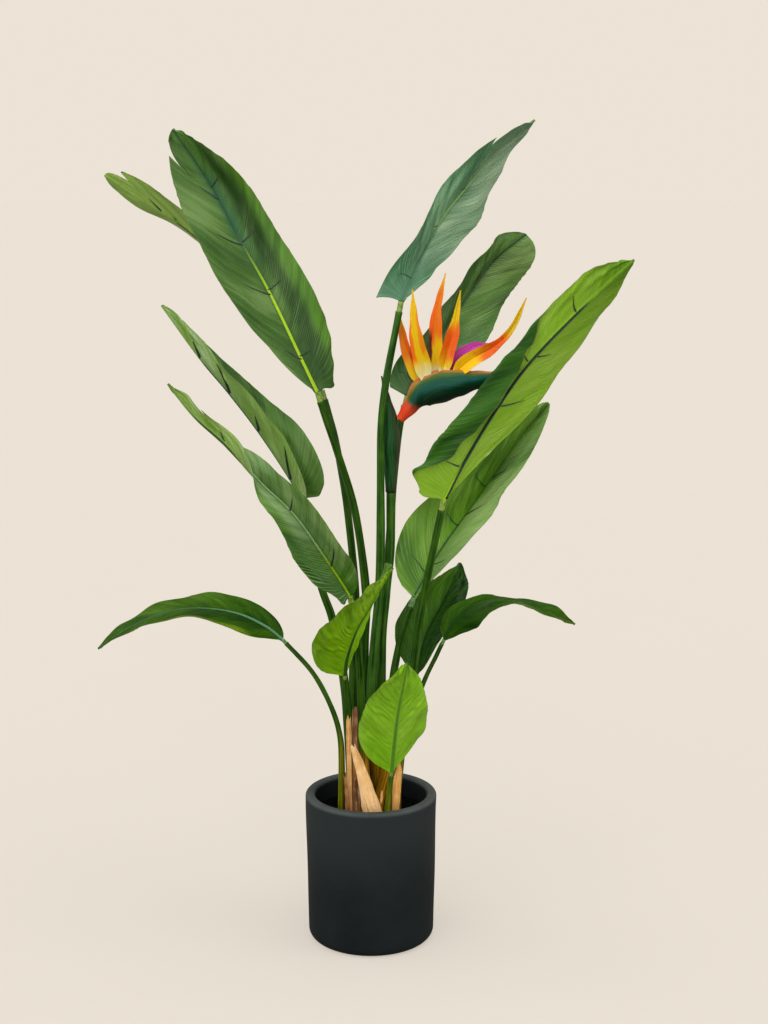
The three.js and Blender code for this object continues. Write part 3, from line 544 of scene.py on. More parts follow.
def blade(number, index):
    """One leaf blade: rib, pleats along its side veins, uneven margin, and wires for side veins."""
    look = {**COMMON_LOOK, **LOOKS[number]}
    leaf = blade_values(LEAVES[number], index)
    leaf.update(seed=index, lean=look["lean"], slits=look["slits"])
    path = Path(leaf["rib"])
    large = leaf["large"]
    middle_rows = np.linspace(0.018, 0.985, BLADE_ROWS[large])
    rows = np.concatenate([[0, 0.004, 0.01], middle_rows, [0.992, 0.997, 1]])
    for _, at, _, _, _ in leaf["slits"]:
        rows = np.sort(np.concatenate([rows, [at - 0.0001, at + 0.0001]]))
    inner_columns = 27 if "crease" in leaf else 17
    half = np.concatenate([[0.02, 0.045, 0.075], np.linspace(0.11, 0.97, inner_columns), [1.0]])
    t, c = np.meshgrid(rows, np.concatenate([-half[::-1], [0], half]), indexing="ij")
    point, normal, distance = veined(leaf, path, t, c)
    v = np.abs(c)
    body = smooth_step(0.03, 0.2, v) * smooth_step(0, 0.05, t) * smooth_step(1, 0.93, t)
    pleats = path.length / PLEAT_SPACING[large]
    phase = pleats * t + 0.8 * ripple(index, t * 3, v, 3, 0.4, 1.2) + 0.31 * (c > 0)
    strength = 0.55 + 0.45 * ripple(index + 40, t * 4, c, 4, 0.6, 2)
    pleat = look["pleat"] * np.sin(FULL_TURN * phase) * strength
    uneven = 0.9 * ripple(index + 80, t * 2, c, 5, 0.8, 2.4) * smooth_step(0.1, 0.7, v)
    offset = body * (pleat * smooth_step(1.02, 0.8, v) + uneven)
    for side, place, depth, width in look["grooves"]:
        along = smooth_step(0.02, 0.25, t) * smooth_step(0.95, 0.6, t)
        offset = offset - depth * along * np.exp(-(((c * side - place) / width) ** 2))
    radius = rib_radius(large, t)
    rib = RIB_HEIGHT * radius * np.sqrt(np.maximum(0, 1 - (distance / radius) ** 2))
    thick = BLADE_THICKNESS * (0.5 - 0.22 * smooth_step(0.85, 1, v))
    upper = point + normal * (offset + thick + 0.2 * rib)[..., None]
    lower = point + normal * (offset - thick - rib)[..., None]
    body, on_rim, kinds = sheet(upper, lower)
    lengths = both_faces(t * path.length * MM, np.sign(c) * distance * MM)
    materials = [blade_material(f"blade_{number}_upper", look, True, index),
                 blade_material(f"blade_{number}_under", look, False, index)]
    slots = np.where(kinds == 1, 1, 0)
    piece = make(f"leaf_{number}", body, materials, lengths, both_faces(t, v), slots, on_rim)
    settle(piece, "leaf" if large else "young_leaf", f"leaf_{number}")
    if look["wires"] or look["under_wires"]:
        wires(number, leaf, path, look)


def wires(number, leaf, path, look):
    """Dark wires that stand for side veins, pressed onto a face of the blade from its rib outward."""
    bodies = []
    drawn = [(1, *wire) for wire in look["wires"]] + [(-1, *wire) for wire in look["under_wires"]]
    for face, side, start, reach, drift in drawn:
        s = np.linspace(0, 1, 16)
        point, normal, _ = veined(leaf, path, start + drift * s, side * (0.01 + reach * s))
        line = Path(point + normal * face * (BLADE_THICKNESS * 0.5 + 0.25), 60)
        u = np.linspace(0, 1, 18)
        bodies.append(loft(tube_rings(line, u, look["wire_radius"] * (1 - 0.8 * u**1.3), sides=8)))
    if look["rib_wire"]:
        t = np.linspace(0.01, abs(look["rib_wire"]), 60)
        point, normal, _ = veined(leaf, path, t, np.zeros_like(t))
        rib = RIB_HEIGHT * rib_radius(leaf["large"], t)
        over = look["rib_wire"] > 0
        lift = BLADE_THICKNESS / 2 + 0.2 * rib if over else -BLADE_THICKNESS / 2 - rib
        line = Path(point + normal * lift[:, None], 200)
        u = np.linspace(0, 1, 80)
        bodies.append(loft(tube_rings(line, u, look["rib_wire_radius"] * (1 - 0.54 * u), sides=8)))
    body, _ = joined(bodies)
    settle(make(f"leaf_{number}_wires", body, [WIRE]), "stalk")


# Materials

def srgb(r, g, b):
    """A colour given as 0..255 display values, in the linear values that shaders take."""
    def linear(x):
        x = x / 255
        return x / 12.92 if x <= 0.04045 else ((x + 0.055) / 1.055) ** 2.4
    return (linear(r), linear(g), linear(b), 1.0)


class Nodes:
    """Short ways to add nodes to one material."""

    def __init__(self, name):
        self.material = bpy.data.materials.new(name)
        self.material.use_nodes = True
        self.tree = self.material.node_tree
        self.shader = self.tree.nodes["Principled BSDF"]

    def add(self, kind, inputs=(), **settings):
        """A new node.  inputs: what feeds its inputs, as a list from the first on or as a dict."""
        node = self.tree.nodes.new(kind)
        for key, value in settings.items():
            setattr(node, key, value)
        for key, value in inputs.items() if isinstance(inputs, dict) else enumerate(inputs):
            self.feed(node.inputs[key], value)
        return node

    def feed(self, socket, value):
        """Links an input to a socket, or gives it a number, a colour of display values or a linear one."""
        if isinstance(value, bpy.types.NodeSocket):
            self.tree.links.new(value, socket)
        elif isinstance(value, tuple) and len(value) == 3:
            socket.default_value = srgb(*value)
        else:
            socket.default_value = value

    def split(self, vector):
        """The x, y and z of a vector."""
        return self.add("ShaderNodeSeparateXYZ", [vector]).outputs

    def uv(self, layer):
        """The two coordinates of a map."""
        return self.split(self.add("ShaderNodeUVMap", uv_map=layer).outputs[0])[:2]

    def vector(self, x, y, z):
        return self.add("ShaderNodeCombineXYZ", [x, y, z]).outputs[0]

    def math(self, operation, a, b=0.0, c=0.0):
        return self.add("ShaderNodeMath", [a, b, c], operation=operation).outputs[0]

    def plus(self, a, b):
        return self.math("ADD", a, b)

    def minus(self, a, b):
        return self.math("SUBTRACT", a, b)

    def times(self, a, b):
        return self.math("MULTIPLY", a, b)

    def noise(self, place, scale, detail=2.0, rough=0.5, distortion=0.0):
        inputs = {"Vector": place, "Scale": scale, "Detail": detail, "Roughness": rough,
                  "Distortion": distortion}
        return self.add("ShaderNodeTexNoise", inputs).outputs[0]

    def streaks(self, u, v, across, along, detail=3.0, rough=0.6, distortion=0.2, shift=0.0):
        """Noise over two map coordinates, with how often it changes along each."""
        place = self.vector(self.times(u, across), self.times(v, along), shift)
        return self.noise(place, 1.0, detail, rough, distortion)

    def place(self):
        """The place on the object, in metres."""
        return self.add("ShaderNodeTexCoord").outputs["Object"]

    def span(self, value, low, high, start=0.0, end=1.0, smooth=True):
        """From start to end while the value goes from low to high."""
        inputs = {"Value": value, "From Min": low, "From Max": high, "To Min": start, "To Max": end}
        kind = "SMOOTHSTEP" if smooth else "LINEAR"
        return self.add("ShaderNodeMapRange", inputs, interpolation_type=kind).outputs["Result"]

    def mix(self, share, a, b):
        """Colour a, and colour b in its place by that share."""
        return self.add("ShaderNodeMix", {0: share, 6: a, 7: b}, data_type="RGBA").outputs[2]

    def ramp(self, value, stops):
        node = self.add("ShaderNodeValToRGB", [value])
        points = node.color_ramp.elements
        points[1].position = stops[-1][0]
        for position, _ in stops[1:-1]:
            points.new(position)
        for point, (position, color) in zip(points, stops):
            point.position, point.color = position, srgb(*color)
        return node.outputs[0]

    def finish(self, color, roughness, bump=None, bump_depth=0.0003, specular=0.5):
        """The material, with its shader fed.  bump: a height, which counts as bump_depth metres."""
        inputs = {"Base Color": color, "Roughness": roughness, "Specular IOR Level": specular}
        if bump is not None:
            heights = {"Strength": 1.0, "Distance": bump_depth, "Height": bump}
            inputs["Normal"] = self.add("ShaderNodeBump", heights).outputs[0]
        for key, value in inputs.items():
            self.feed(self.shader.inputs[key], value)
        return self.material


# Colours that several blades share; GREEN and PALE are dark, middle and light.
GREEN = ((22, 52, 8), (44, 84, 20), (92, 124, 52))
PALE = ((70, 112, 8), (96, 138, 22), (136, 166, 70))
YELLOW_GREEN = (142, 176, 12)
TEAL = (22, 66, 46)
DARK = (10, 36, 18)
MARGIN = (96, 108, 48)

# How each blade looks.  top, under: dark, middle and light greens of each face.
# rib, under_rib: its colour at the base and at the tip, which change over at rib_turn; rib_end: where
# its paint ends.  rib_wire: how far a wire lies along the rib, below 0 on the under face.
# wires, under_wires: (side, place, reach, drift) of each wired side vein on that face, where drift
# carries its end along the blade.  lean: how far each half's side veins run on toward the tip, in
# half widths.  slits: (side, place, depth, length, sweep) of each tear, where sweep in mm carries its
# lip toward the tip.  grooves: (side, place, depth, width) of each.  bands: (distance from the rib,
# half width in metres, colour, amount, start, end) of each tint along the blade, left of the rib
# below 0; some tints are the leaf's own colour, and some are painted shade and painted sheen.  pleat:
# the height of its pleats in mm.  veins: how strongly the side vein lines show, pitch metres apart;
# the lines are lighter, partly as a painted highlight on their ridges, and where a valley tint is
# given they take it instead, a darker colour painted as shade in their valleys.  grain: the strength
# of the fine lines.
COMMON_LOOK = dict(
    top=GREEN, under=PALE, rib=(YELLOW_GREEN, TEAL), under_rib=(YELLOW_GREEN, DARK),
    rib_turn=(0.3, 0.62), rib_end=1.2, rib_wire=0.0, rib_wire_radius=1.3,
    wires=(), under_wires=(), wire_radius=0.8, lean=(0.7, 0.45), slits=(), grooves=(), bands=(),
    pleat=0.2, veins=0.4, pitch=0.0034, valley=None, grain=0.3, roughness=0.38, gloss=0.16,
)
LOOKS = {
    "01": dict(top=((30, 62, 12), (50, 84, 24), (104, 132, 72)), veins=0.42,
               wires=[(-1, 0.722, 0.33, 0.016), (-1, 0.55, 0.62, -0.035), (-1, 0.36, 0.53, -0.027),
                      (-1, 0.12, 0.37, -0.017), (1, 0.77, 0.46, -0.045), (1, 0.56, 0.54, -0.055),
                      (1, 0.378, 0.43, -0.048), (1, 0.132, 0.32, -0.04)],
               wire_radius=1.0, slits=[(-1, 0.779, 0.4, 0.075, 0)], grooves=[(1, 0.46, 2.6, 0.16)],
               lean=(0.9, 0.7),
               # Painted shade: the first band darkens the groove in the right half.  Painted light: the
               # last band lightens the right half near the tip.
               bands=[(0.020, 0.012, (14, 46, 2), 0.85, 0.05, 0.8),
                      (0.041, 0.014, (84, 134, 20), 0.5, 0.0, 0.85),
                      (0.002, 0.012, (20, 84, 56), 0.6, 0.5, 0.85),
                      (0.02, 0.04, (84, 126, 50), 0.6, 0.84, 1.1)]),
    "02": dict(under=((92, 130, 30), (118, 154, 54), (164, 190, 112)), under_rib=(DARK, DARK),
               under_wires=[(-1, 0.778, 0.31, 0), (-1, 0.72, 0.1, 0)], wire_radius=1.2, rib_end=0.72,
               rib_wire=-0.72, slits=[(-1, 0.805, 0.43, 1.5, -8)], lean=(1.3, 0.8)),
    "03": dict(top=((40, 74, 18), (68, 104, 38), (112, 140, 84)),
               under=((108, 146, 56), (134, 170, 86), (176, 198, 158)), under_rib=(TEAL, TEAL),
               under_wires=[(-1, 0.1, 0.8, 0), (-1, 0.35, 0.4, 0), (-1, 0.552, 0.75, -0.012),
                            (-1, 0.742, 0.4, 0.013)],
               wires=[(1, 0.12, 0.3, 0)], wire_radius=2.0, slits=[(-1, 0.74, 0.2, 0.03, 0)], rib_end=0.72,
               lean=(1.1, 0.6), bands=[(0.0, 0.006, (60, 104, 84), 0.6, 0.15, 0.75)]),
    "04": dict(top=((32, 70, 4), (60, 104, 18), (136, 164, 96)), veins=0.5,
               under_rib=((60, 90, 20), (46, 78, 22)), rib=(YELLOW_GREEN, (146, 178, 128)),
               rib_turn=(0.14, 0.26),
               # The first and last bands are painted sheen beside the rib.
               bands=[(-0.010, 0.014, (150, 174, 128), 0.5, 0.22, 0.55),
                      (-0.018, 0.02, (26, 74, 0), 0.7, -0.1, 0.24),
                      (0.012, 0.02, (104, 130, 84), 0.5, 0.15, 0.6)],
               under=((90, 126, 30), (116, 150, 62), (160, 182, 124)), rib_end=0.86,
               slits=[(-1, 0.755, 0.24, 0.08, 0)], wires=[(1, 0.134, 0.87, 0.013), (1, 0.39, 0.54, -0.01)],
               under_wires=[(-1, 0.72, 0.61, -0.025)], wire_radius=1.1, gloss=0.3),
    "05": dict(top=((18, 52, 0), (40, 76, 0), (76, 110, 26)), gloss=0.06,
               rib=((84, 124, 92), (58, 100, 52)), rib_turn=(0.2, 0.5), pleat=0.3, veins=0.3,
               bands=[(-0.035, 0.01, (112, 138, 20), 0.5, -0.1, 1.1)]),
    "06": dict(under=((92, 140, 0), (118, 168, 6), (156, 198, 38)), gloss=0.12,
               under_rib=((40, 78, 6), (70, 108, 12)), pleat=1.0, veins=0.5, roughness=0.34,
               # valley: painted shade along the side vein lines.
               pitch=0.013, grain=0.06, valley=(76, 116, 0)),
    "07": dict(under=((112, 166, 20), (124, 178, 28), (146, 196, 52)), gloss=0.12,
               under_rib=((76, 128, 28), (84, 130, 24)), pleat=0.9, veins=0.45, roughness=0.32,
               # valley: painted shade along the side vein lines.
               pitch=0.013, grain=0.06, valley=(92, 144, 8),
               bands=[(0.045, 0.016, (142, 190, 56), 0.5, -0.1, 1.1),
                      (-0.045, 0.014, (132, 184, 48), 0.4, -0.1, 1.1)]),
    "08": dict(top=((34, 84, 50), (82, 128, 88), (160, 184, 146)), veins=0.42,
               rib=((40, 88, 56), (116, 152, 80)), rib_turn=(0.25, 0.45), rib_end=0.8, gloss=0.35,
               wires=[(-1, 0.562, 0.59, -0.155), (-1, 0.356, 0.93, -0.211), (-1, 0.104, 0.61, -0.059)],
               roughness=0.36, slits=[(-1, 0.6, 0.36, 0.08, 4)], grooves=[(-1, 0.5, -2.5, 0.3)],
               lean=(0.9, 1.1),
               # The first band is painted sheen over the right half.
               bands=[(0.03, 0.04, (134, 158, 126), 0.45, 0.1, 1.1),
                      (-0.02, 0.03, (46, 98, 50), 0.65, 0.5, 1.1),
                      (0.0, 0.06, (32, 88, 56), 0.9, -0.2, 0.14)]),
    "09": dict(top=((24, 64, 4), (56, 100, 22), (148, 170, 106)), veins=0.65,
               rib=((28, 66, 30), DARK),
               wires=[(-1, 0.77, 0.79, -0.182), (-1, 0.57, 0.85, -0.203), (-1, 0.078, 0.72, -0.043)],
               rib_wire=0.78, slits=[(-1, 0.62, 0.3, 0.04, 2)], grooves=[(-1, 0.5, -4, 0.3)],
               lean=(0.9, 1.0), gloss=0.2,
               # The first band is painted sheen over the right half.
               bands=[(0.03, 0.04, (116, 140, 76), 0.4, 0.55, 1.1),
                      (0.0, 0.08, (20, 68, 36), 0.8, -0.2, 0.3)]),
    "10": dict(top=((18, 56, 4), (40, 84, 10), (66, 110, 30)),
               under=((102, 146, 12), (122, 164, 38), (142, 178, 66)),
               rib_turn=(0.06, 0.16), rib_end=0.8,
               under_wires=[(1, 0.76, 0.6, -0.052), (1, 0.542, 0.34, -0.032), (1, 0.128, 0.28, -0.033),
                            (-1, 0.368, 0.6, -0.053), (-1, 0.568, 0.37, -0.023)],
               wire_radius=1.1, rib_wire=-0.8, veins=0.2,
               bands=[(0.0, 0.12, (68, 112, 0), 0.85, 0.8, 1.2)]),
    "11": dict(top=((56, 98, 18), (94, 136, 38), (148, 174, 100)),
               rib=((60, 110, 40), DARK), rib_turn=(0.1, 0.3), rib_wire=0.86, rib_wire_radius=0.8,
               wires=[(-1, 0.108, 0.53, -0.043), (-1, 0.348, 0.45, -0.078), (-1, 0.554, 0.82, -0.184),
                      (1, 0.596, 0.44, 0.002), (1, 0.404, 0.5, 0.001), (1, 0.154, 0.54, -0.034)],
               # The first band is painted sheen over the right half.
               bands=[(0.03, 0.04, (116, 142, 94), 0.5, -0.1, 1.1),
                      (-0.006, 0.007, (84, 138, 10), 0.7, 0.1, 0.8)]),
    "12": dict(top=((22, 60, 0), (46, 90, 6), (84, 124, 34)), gloss=0.12,
               rib=((16, 40, 18), (20, 48, 22)), pleat=0.6, veins=0.3,
               bands=[(0.02, 0.03, (10, 36, 18), 0.85, -0.1, 1.1)]),
    "13": dict(top=((14, 48, 0), (32, 68, 0), (66, 100, 18)), gloss=0.06,
               rib=((24, 60, 10), (30, 66, 12)), pleat=0.5, veins=0.3,
               bands=[(0.0, 0.05, (78, 96, 8), 0.5, 0.82, 1.2)]),
}


def blade_material(name, look, upper, seed):
    """A blade's face: calm greens; fine raised side veins whose lines are partly painted highlight and,
    where a valley tint is given, painted shade; a coloured rib with painted shade beside it; tints in
    bands, some of them painted shade and sheen; and a browned margin.
    """
    n = Nodes(name)
    u, v = n.uv("lengths")
    share, out = n.uv("shares")
    dark, middle, light = look["top"] if upper else look["under"]
    rib_base, rib_tip = look["rib"] if upper else look["under_rib"]

    def streaks(across, along, shift, distortion):
        return n.streaks(u, v, across, along, 2.0, 0.55, distortion, seed * 3.7 + shift)

    broad = streaks(14.0, 13.0, 0.0, 0.3)
    band = streaks(95.0, 9.0, 1.0, 0.2)
    fine = streaks(700.0, 18.0, 3.0, 0.1)
    tone = n.plus(n.times(broad, 0.7), n.times(band, 0.3))
    color = n.mix(n.span(tone, 0.38, 0.52), dark, middle)
    color = n.mix(n.span(tone, 0.5, 0.66, 0.0, 0.6), color, light)
    # Bands of tint, of the leaf's own colour and of painted shade and sheen.
    for centre, half, tint, amount, start, end in look["bands"]:
        across = n.span(n.math("ABSOLUTE", n.minus(v, centre)), 0.25 * half, half, 1.0, 0.0)
        begun = n.span(share, start - 0.1, start + 0.1)
        along = n.times(begun, n.span(share, end - 0.1, end + 0.1, 1.0, 0.0))
        uneven = n.span(band, 0.3, 0.6, 0.5 * amount, amount)
        color = n.mix(n.times(n.times(across, along), uneven), color, tint)
    wander = n.times(band, 9.0 if look["pitch"] < 0.005 else 3.0)
    ridge = n.math("SINE", n.plus(n.times(u, FULL_TURN / look["pitch"]), wander))
    vein = n.math("POWER", n.math("MULTIPLY_ADD", ridge, 0.5, 0.5), 5.0)
    shown = n.times(vein, n.span(streaks(30.0, 26.0, 5.0, 0.2), 0.38, 0.62, 0.15, 1.0))
    # Vein lines: in the light green they are partly a painted highlight on their ridges; in a valley tint
    # they are painted shade in their valleys.
    color = n.mix(n.times(shown, look["veins"]), color, look["valley"] or light)
    color = n.mix(n.span(fine, 0.3, 0.48, look["grain"], 0.0), color, dark)
    rib_half = n.span(share, 0.0, 1.0, 0.0017, 0.0006, smooth=False)
    beyond = n.minus(n.math("ABSOLUTE", v), rib_half)
    # Painted shade: the blade is darker green along both sides of the rib.
    color = n.mix(n.span(beyond, 0.0006, 0.004, 0.5, 0.0), color, dark)
    rib_color = n.mix(n.span(share, *look["rib_turn"]), rib_base, rib_tip)
    rib_shown = n.span(share, look["rib_end"] - 0.04, look["rib_end"] + 0.04, 1.0, 0.0)
    color = n.mix(n.times(n.span(beyond, 0.0, 0.0007, 1.0, 0.0), rib_shown), color, rib_color)
    color = n.mix(n.span(out, 0.975, 1.0, 0.0, 0.6), color, MARGIN)
    height = n.plus(n.times(band, 0.8), n.times(vein, 0.25))
    height = n.plus(height, n.times(fine, look["grain"]))
    roughness = n.span(band, 0.3, 0.7, look["roughness"] - 0.05, look["roughness"] + 0.1)
    return n.finish(color, roughness, height, 0.0008, look["gloss"])


def mottled_material(name, dark, light, scale, roughness, bump_depth=0.0003, specular=0.5):
    """A surface of two mottled colours with a finer grain."""
    n = Nodes(name)
    place = n.place()
    patch = n.noise(place, scale, 4.0, 0.6)
    grain = n.noise(place, scale * 9, 3.0, 0.6)
    color = n.mix(n.span(patch, 0.3, 0.7), dark, light)
    height = n.plus(n.times(patch, 0.5), n.times(grain, 0.5))
    rough = n.span(grain, 0.3, 0.7, roughness - 0.07, roughness + 0.07)
    return n.finish(color, rough, height, bump_depth, specular)


WIRE = mottled_material("wire", (6, 26, 22), (18, 52, 40), 300.0, 0.42)


def stalk_material(name, colors, foot_reach):
    """A stalk: fine lengthwise streaks, dark green above and olive to brown near the soil."""
    n = Nodes(name)
    dark, light, foot_dark, foot_light = STALK_COLORS[colors]
    u, v = n.uv("lengths")
    streak = n.streaks(u, v, 9.0, 420.0, 4.0, 0.6, 0.3)
    patch = n.streaks(u, v, 26.0, 60.0, 3.0, 0.55, 0.0)
    tone = n.plus(n.times(streak, 0.6), n.times(patch, 0.4))
    color = n.mix(n.span(tone, 0.38, 0.62), dark, light)
    foot = n.mix(n.span(streak, 0.4, 0.62), foot_dark, foot_light)
    level = n.plus(u, n.times(n.minus(patch, 0.5), 0.05))
    low, high = (foot_reach - 20) * MM, (foot_reach + 30) * MM
    color = n.mix(n.span(level, low, high, 1.0, 0.0), color, foot)
    return n.finish(color, n.span(streak, 0.3, 0.7, 0.34, 0.5), streak, 0.0006, 0.1)


# The colours of stalks: dark and light, then those of the foot.
STALK_COLORS = {
    "green": ((12, 44, 0), (50, 88, 8), (70, 76, 0), (128, 124, 18)),
    "brown": ((12, 44, 0), (50, 86, 10), (96, 66, 2), (170, 122, 20)),
    "blue": ((16, 52, 6), (58, 98, 24), (92, 66, 4), (160, 114, 20)),
    "yellow": ((34, 70, 10), (84, 118, 30), (96, 108, 8), (156, 164, 44)),
}
# Which of them each stalk has, and how far its foot's colours reach along it.
STALK_LOOKS = {
    "01": ("green", 104), "02": ("green", 94), "03": ("green", 94), "04": ("brown", 114),
    "05": ("green", 124), "06": ("brown", 104), "07": ("yellow", 74), "08": ("blue", 114),
    "09": ("blue", 104), "10": ("brown", 114), "11": ("brown", 104), "12": ("green", 94),
    "13": ("brown", 94),
}
GREEN_STUBS = ("05", "11", "12", "13")
STUB = mottled_material("stub", (74, 106, 18), (132, 156, 54), 260.0, 0.4)
GREEN_STUB = mottled_material("green_stub", (38, 84, 24), (110, 146, 82), 260.0, 0.4)


def stalk_points(points, path):
    """A stem's points, upright from its foot in the soil, to just short of the path that it carries."""
    x, y, z = points[0]
    upright = [x + 0.04 * (points[1][0] - x), y + 0.04 * (points[1][1] - y), z + 14]
    start, direction = path.at(np.array([0.0]))
    end = (start[0] - CLEARANCE * direction[0]).tolist()
    return [[x, y, STEM_FOOT], [x, y, (STEM_FOOT + SOIL_TOP) / 2], points[0], upright, *points[1:], end]


def stalk_section(seed):
    """A stalk's section: fine ribs, one channel, and a slight swelling along it."""
    phase = np.random.default_rng(seed).uniform(0, FULL_TURN, 3)

    def section(u, angle):
        ribs = 0.016 * np.sin(9 * angle + phase[0]) + 0.012 * np.sin(17 * angle + phase[1])
        channel = -0.1 * np.exp(-(((angle - phase[2]) / 0.5) ** 2))
        swell = 0.02 * np.sin(FULL_TURN * (7 * u + phase[1]))
        return 1 + ribs + channel + swell
    return section


def tube_lengths(path, u, radius, sides):
    """Map coordinates of a tube's rings and end hubs: length along it and round it, in metres."""
    around = np.arange(sides) / sides
    around = np.minimum(around, 1 - around)
    x = np.repeat((u * path.length * MM)[:, None], sides, 1)
    y = around[None, :] * FULL_TURN * radius[:, None] * MM
    return np.concatenate([np.stack([x.ravel(), y.ravel()], -1), [[0.0, 0.0], [x[-1, 0], 0.0]]])


def tube_shares(u, around):
    """Map coordinates of a tube's rings and end hubs: shares along it and round it."""
    x = np.repeat(u, len(around))
    return np.concatenate([np.stack([x, np.tile(around, len(u))], -1), [[0.0, 0.5], [1.0, 0.5]]])


def stem(name, path, radius_values, seed, materials, stub_radius=0.0, socket=0.0):
    """A stalk, and where a blade plugs into it, a lipped socket with the blade's pale stub."""
    mouth = 1 - socket / path.length
    u = np.linspace(0, mouth, int(path.length / STALK_RING_SPACING))
    radius = eased(radius_values, u)
    if stub_radius:
        radius = radius * (1 + 0.09 * np.exp(-((u - mouth) * path.length / 2.5) ** 2))
    bodies = [loft(tube_rings(path, u, radius, sides=STALK_SIDES, section=stalk_section(seed)))]
    lengths = [tube_lengths(path, u, radius, STALK_SIDES)]
    if stub_radius:
        u = np.linspace(mouth - 2 / path.length, 1, 14)
        radius = stub_radius * (1 + 0.06 * np.sin(9 * np.linspace(0, math.pi, 14)))
        bodies.append(loft(tube_rings(path, u, radius, sides=STALK_SIDES)))
        lengths.append(tube_lengths(path, u, radius, STALK_SIDES))
    body, kinds = joined(bodies)
    settle(make(name, body, materials, np.concatenate(lengths), slots=kinds), "stalk", name)


def stalk(number, index):
    """One blade's stalk."""
    shape = LEAVES[number]
    large = shape["large"]
    materials = [stalk_material(f"stalk_{number}", *STALK_LOOKS[number]),
                 GREEN_STUB if number in GREEN_STUBS else STUB]
    path = Path(stalk_points(shape["stalk"], Path(shape["rib"])))
    stem(f"stalk_{number}", path, STALK_RADIUS[large], 200 + index, materials,
         STUB_RADIUS[large], SOCKET_DEPTH[large])


# The flower

def painted(name, stops, streaks, roughness, sides=()):
    """A petal's paint: a ramp from base to tip, fine streaks, and tints on either side of the keel.

    sides: (near, far, start, end, amount, paint) of each tint, which grows from near to far.
    """
    n = Nodes(name)
    share, _ = n.uv("shares")
    u, v = n.uv("lengths")
    streak = n.streaks(u, v, 40.0, 1500.0)
    patch = n.streaks(u, v, 60.0, 160.0, 2.0, 0.5, 0.0)
    unevenness = n.minus(patch, 0.5)
    along = n.plus(share, n.times(unevenness, 0.16))
    color = n.ramp(along, stops)
    across = n.plus(v, n.times(unevenness, 0.006))
    for near, far, start, end, amount, paint in sides:
        begun = n.span(along, start, start + 0.12)
        place = n.times(begun, n.span(along, end - 0.12, end, 1.0, 0.0))
        color = n.mix(n.times(place, n.span(across, near, far, 0.0, amount)), color, paint)
    color = n.mix(n.span(streak, 0.5, 0.75, 0.0, 0.3), color, streaks)
    return n.finish(color, roughness, streak, 0.0005, 0.25)


def petal(name, shape, material, slot, seed, fold=28):
    """A boat-shaped pointed petal with a keel and thinner, gently waved edges."""
    leaf = strip_values(shape, wave=0.4, waves=2, phase=0.1 * seed, fold=[[fold], [fold]], curl=[[0], [0]])
    path = Path(leaf["rib"])
    t, c = np.meshgrid(np.linspace(0, 1, 90), np.linspace(-1, 1, 25), indexing="ij")
    point, normal, distance = blade_surface(leaf, path, t, c)
    v = np.abs(c)
    grooves = 0.12 * np.sin(14 * c + seed) * smooth_step(1, 0.8, v) * smooth_step(1, 0.8, t)
    thick = PETAL_THICKNESS * (0.5 - 0.3 * v**3)
    upper = point + normal * (grooves + thick)[..., None]
    lower = point + normal * (grooves - thick)[..., None]
    body, on_rim, _ = sheet(upper, lower)
    lengths = both_faces(t * path.length * MM, np.sign(c) * distance * MM)
    settle(make(name, body, [material], lengths, both_faces(t, v), sharp=on_rim), slot, name)


def flower():
    """The flower's stem, bract, spathe, sepals and petal."""
    bract_path = Path(BRACT_PATH)
    stem_path = Path(stalk_points(FLOWER_STEM, bract_path))
    stem("flower_stem", stem_path, FLOWER_STEM_RADIUS, 300, [stalk_material("flower_stem", "blue", 80)])
    bract(bract_path)
    spathe()
    white, yellow, bright = (216, 216, 172), (218, 180, 0), (240, 184, 0)
    orange, deep, tip = (212, 112, 0), (220, 84, 0), (206, 166, 6)
    red, crimson = (150, 40, 8), (84, 6, 10)
    stops = {
        "1": [(0.0, yellow), (0.3, yellow), (0.5, orange), (0.8, orange), (1.0, tip)],
        "2": [(0.0, white), (0.14, white), (0.3, yellow), (0.85, yellow), (1.0, tip)],
        "3": [(0.0, white), (0.1, white), (0.2, yellow), (0.34, yellow), (0.48, orange), (0.82, orange),
              (1.0, tip)],
        "4": [(0.0, white), (0.08, white), (0.18, yellow), (0.3, orange), (0.42, deep), (0.54, deep),
              (0.68, yellow), (1.0, tip)],
        "5": [(0.0, bright), (0.3, bright), (0.42, orange), (0.5, deep), (0.6, deep), (0.7, tip),
              (1.0, tip)],
    }
    sides = {
        "1": [(-0.001, 0.003, 0.1, 0.85, 0.8, deep), (0.002, 0.004, 0.2, 0.6, 0.7, red)],
        "2": [(0.001, 0.006, 0.3, 1.1, 0.9, orange), (-0.003, -0.007, 0.25, 0.95, 0.9, deep)],
        "3": [(0.0, -0.004, 0.3, 0.85, 0.9, deep), (0.003, 0.006, 0.35, 0.9, 0.6, deep),
              # Painted shade: crimson along the left edge of sepal 3, in the hollow of its fold.
              (-0.0045, -0.006, 0.1, 0.5, 1.0, crimson)],
        "4": [(0.0, 0.005, 0.2, 0.75, 0.8, deep)],
        "5": [(-0.002, 0.005, 0.3, 0.7, 0.7, deep)],
    }
    for seed, (number, shape) in enumerate(SEPALS.items()):
        paint = painted(f"sepal_{number}", stops[number], (204, 130, 0), 0.45, sides[number])
        petal(f"sepal_{number}", shape, paint, "sepal", seed + 1)
    purple = [(0.0, (92, 6, 34)), (0.25, (128, 16, 70)), (0.6, (176, 50, 150)),
              (1.0, (160, 44, 132))]
    petal("petal", PETAL, painted("petal", purple, (120, 20, 90), 0.4), "petal", 7, fold=30)


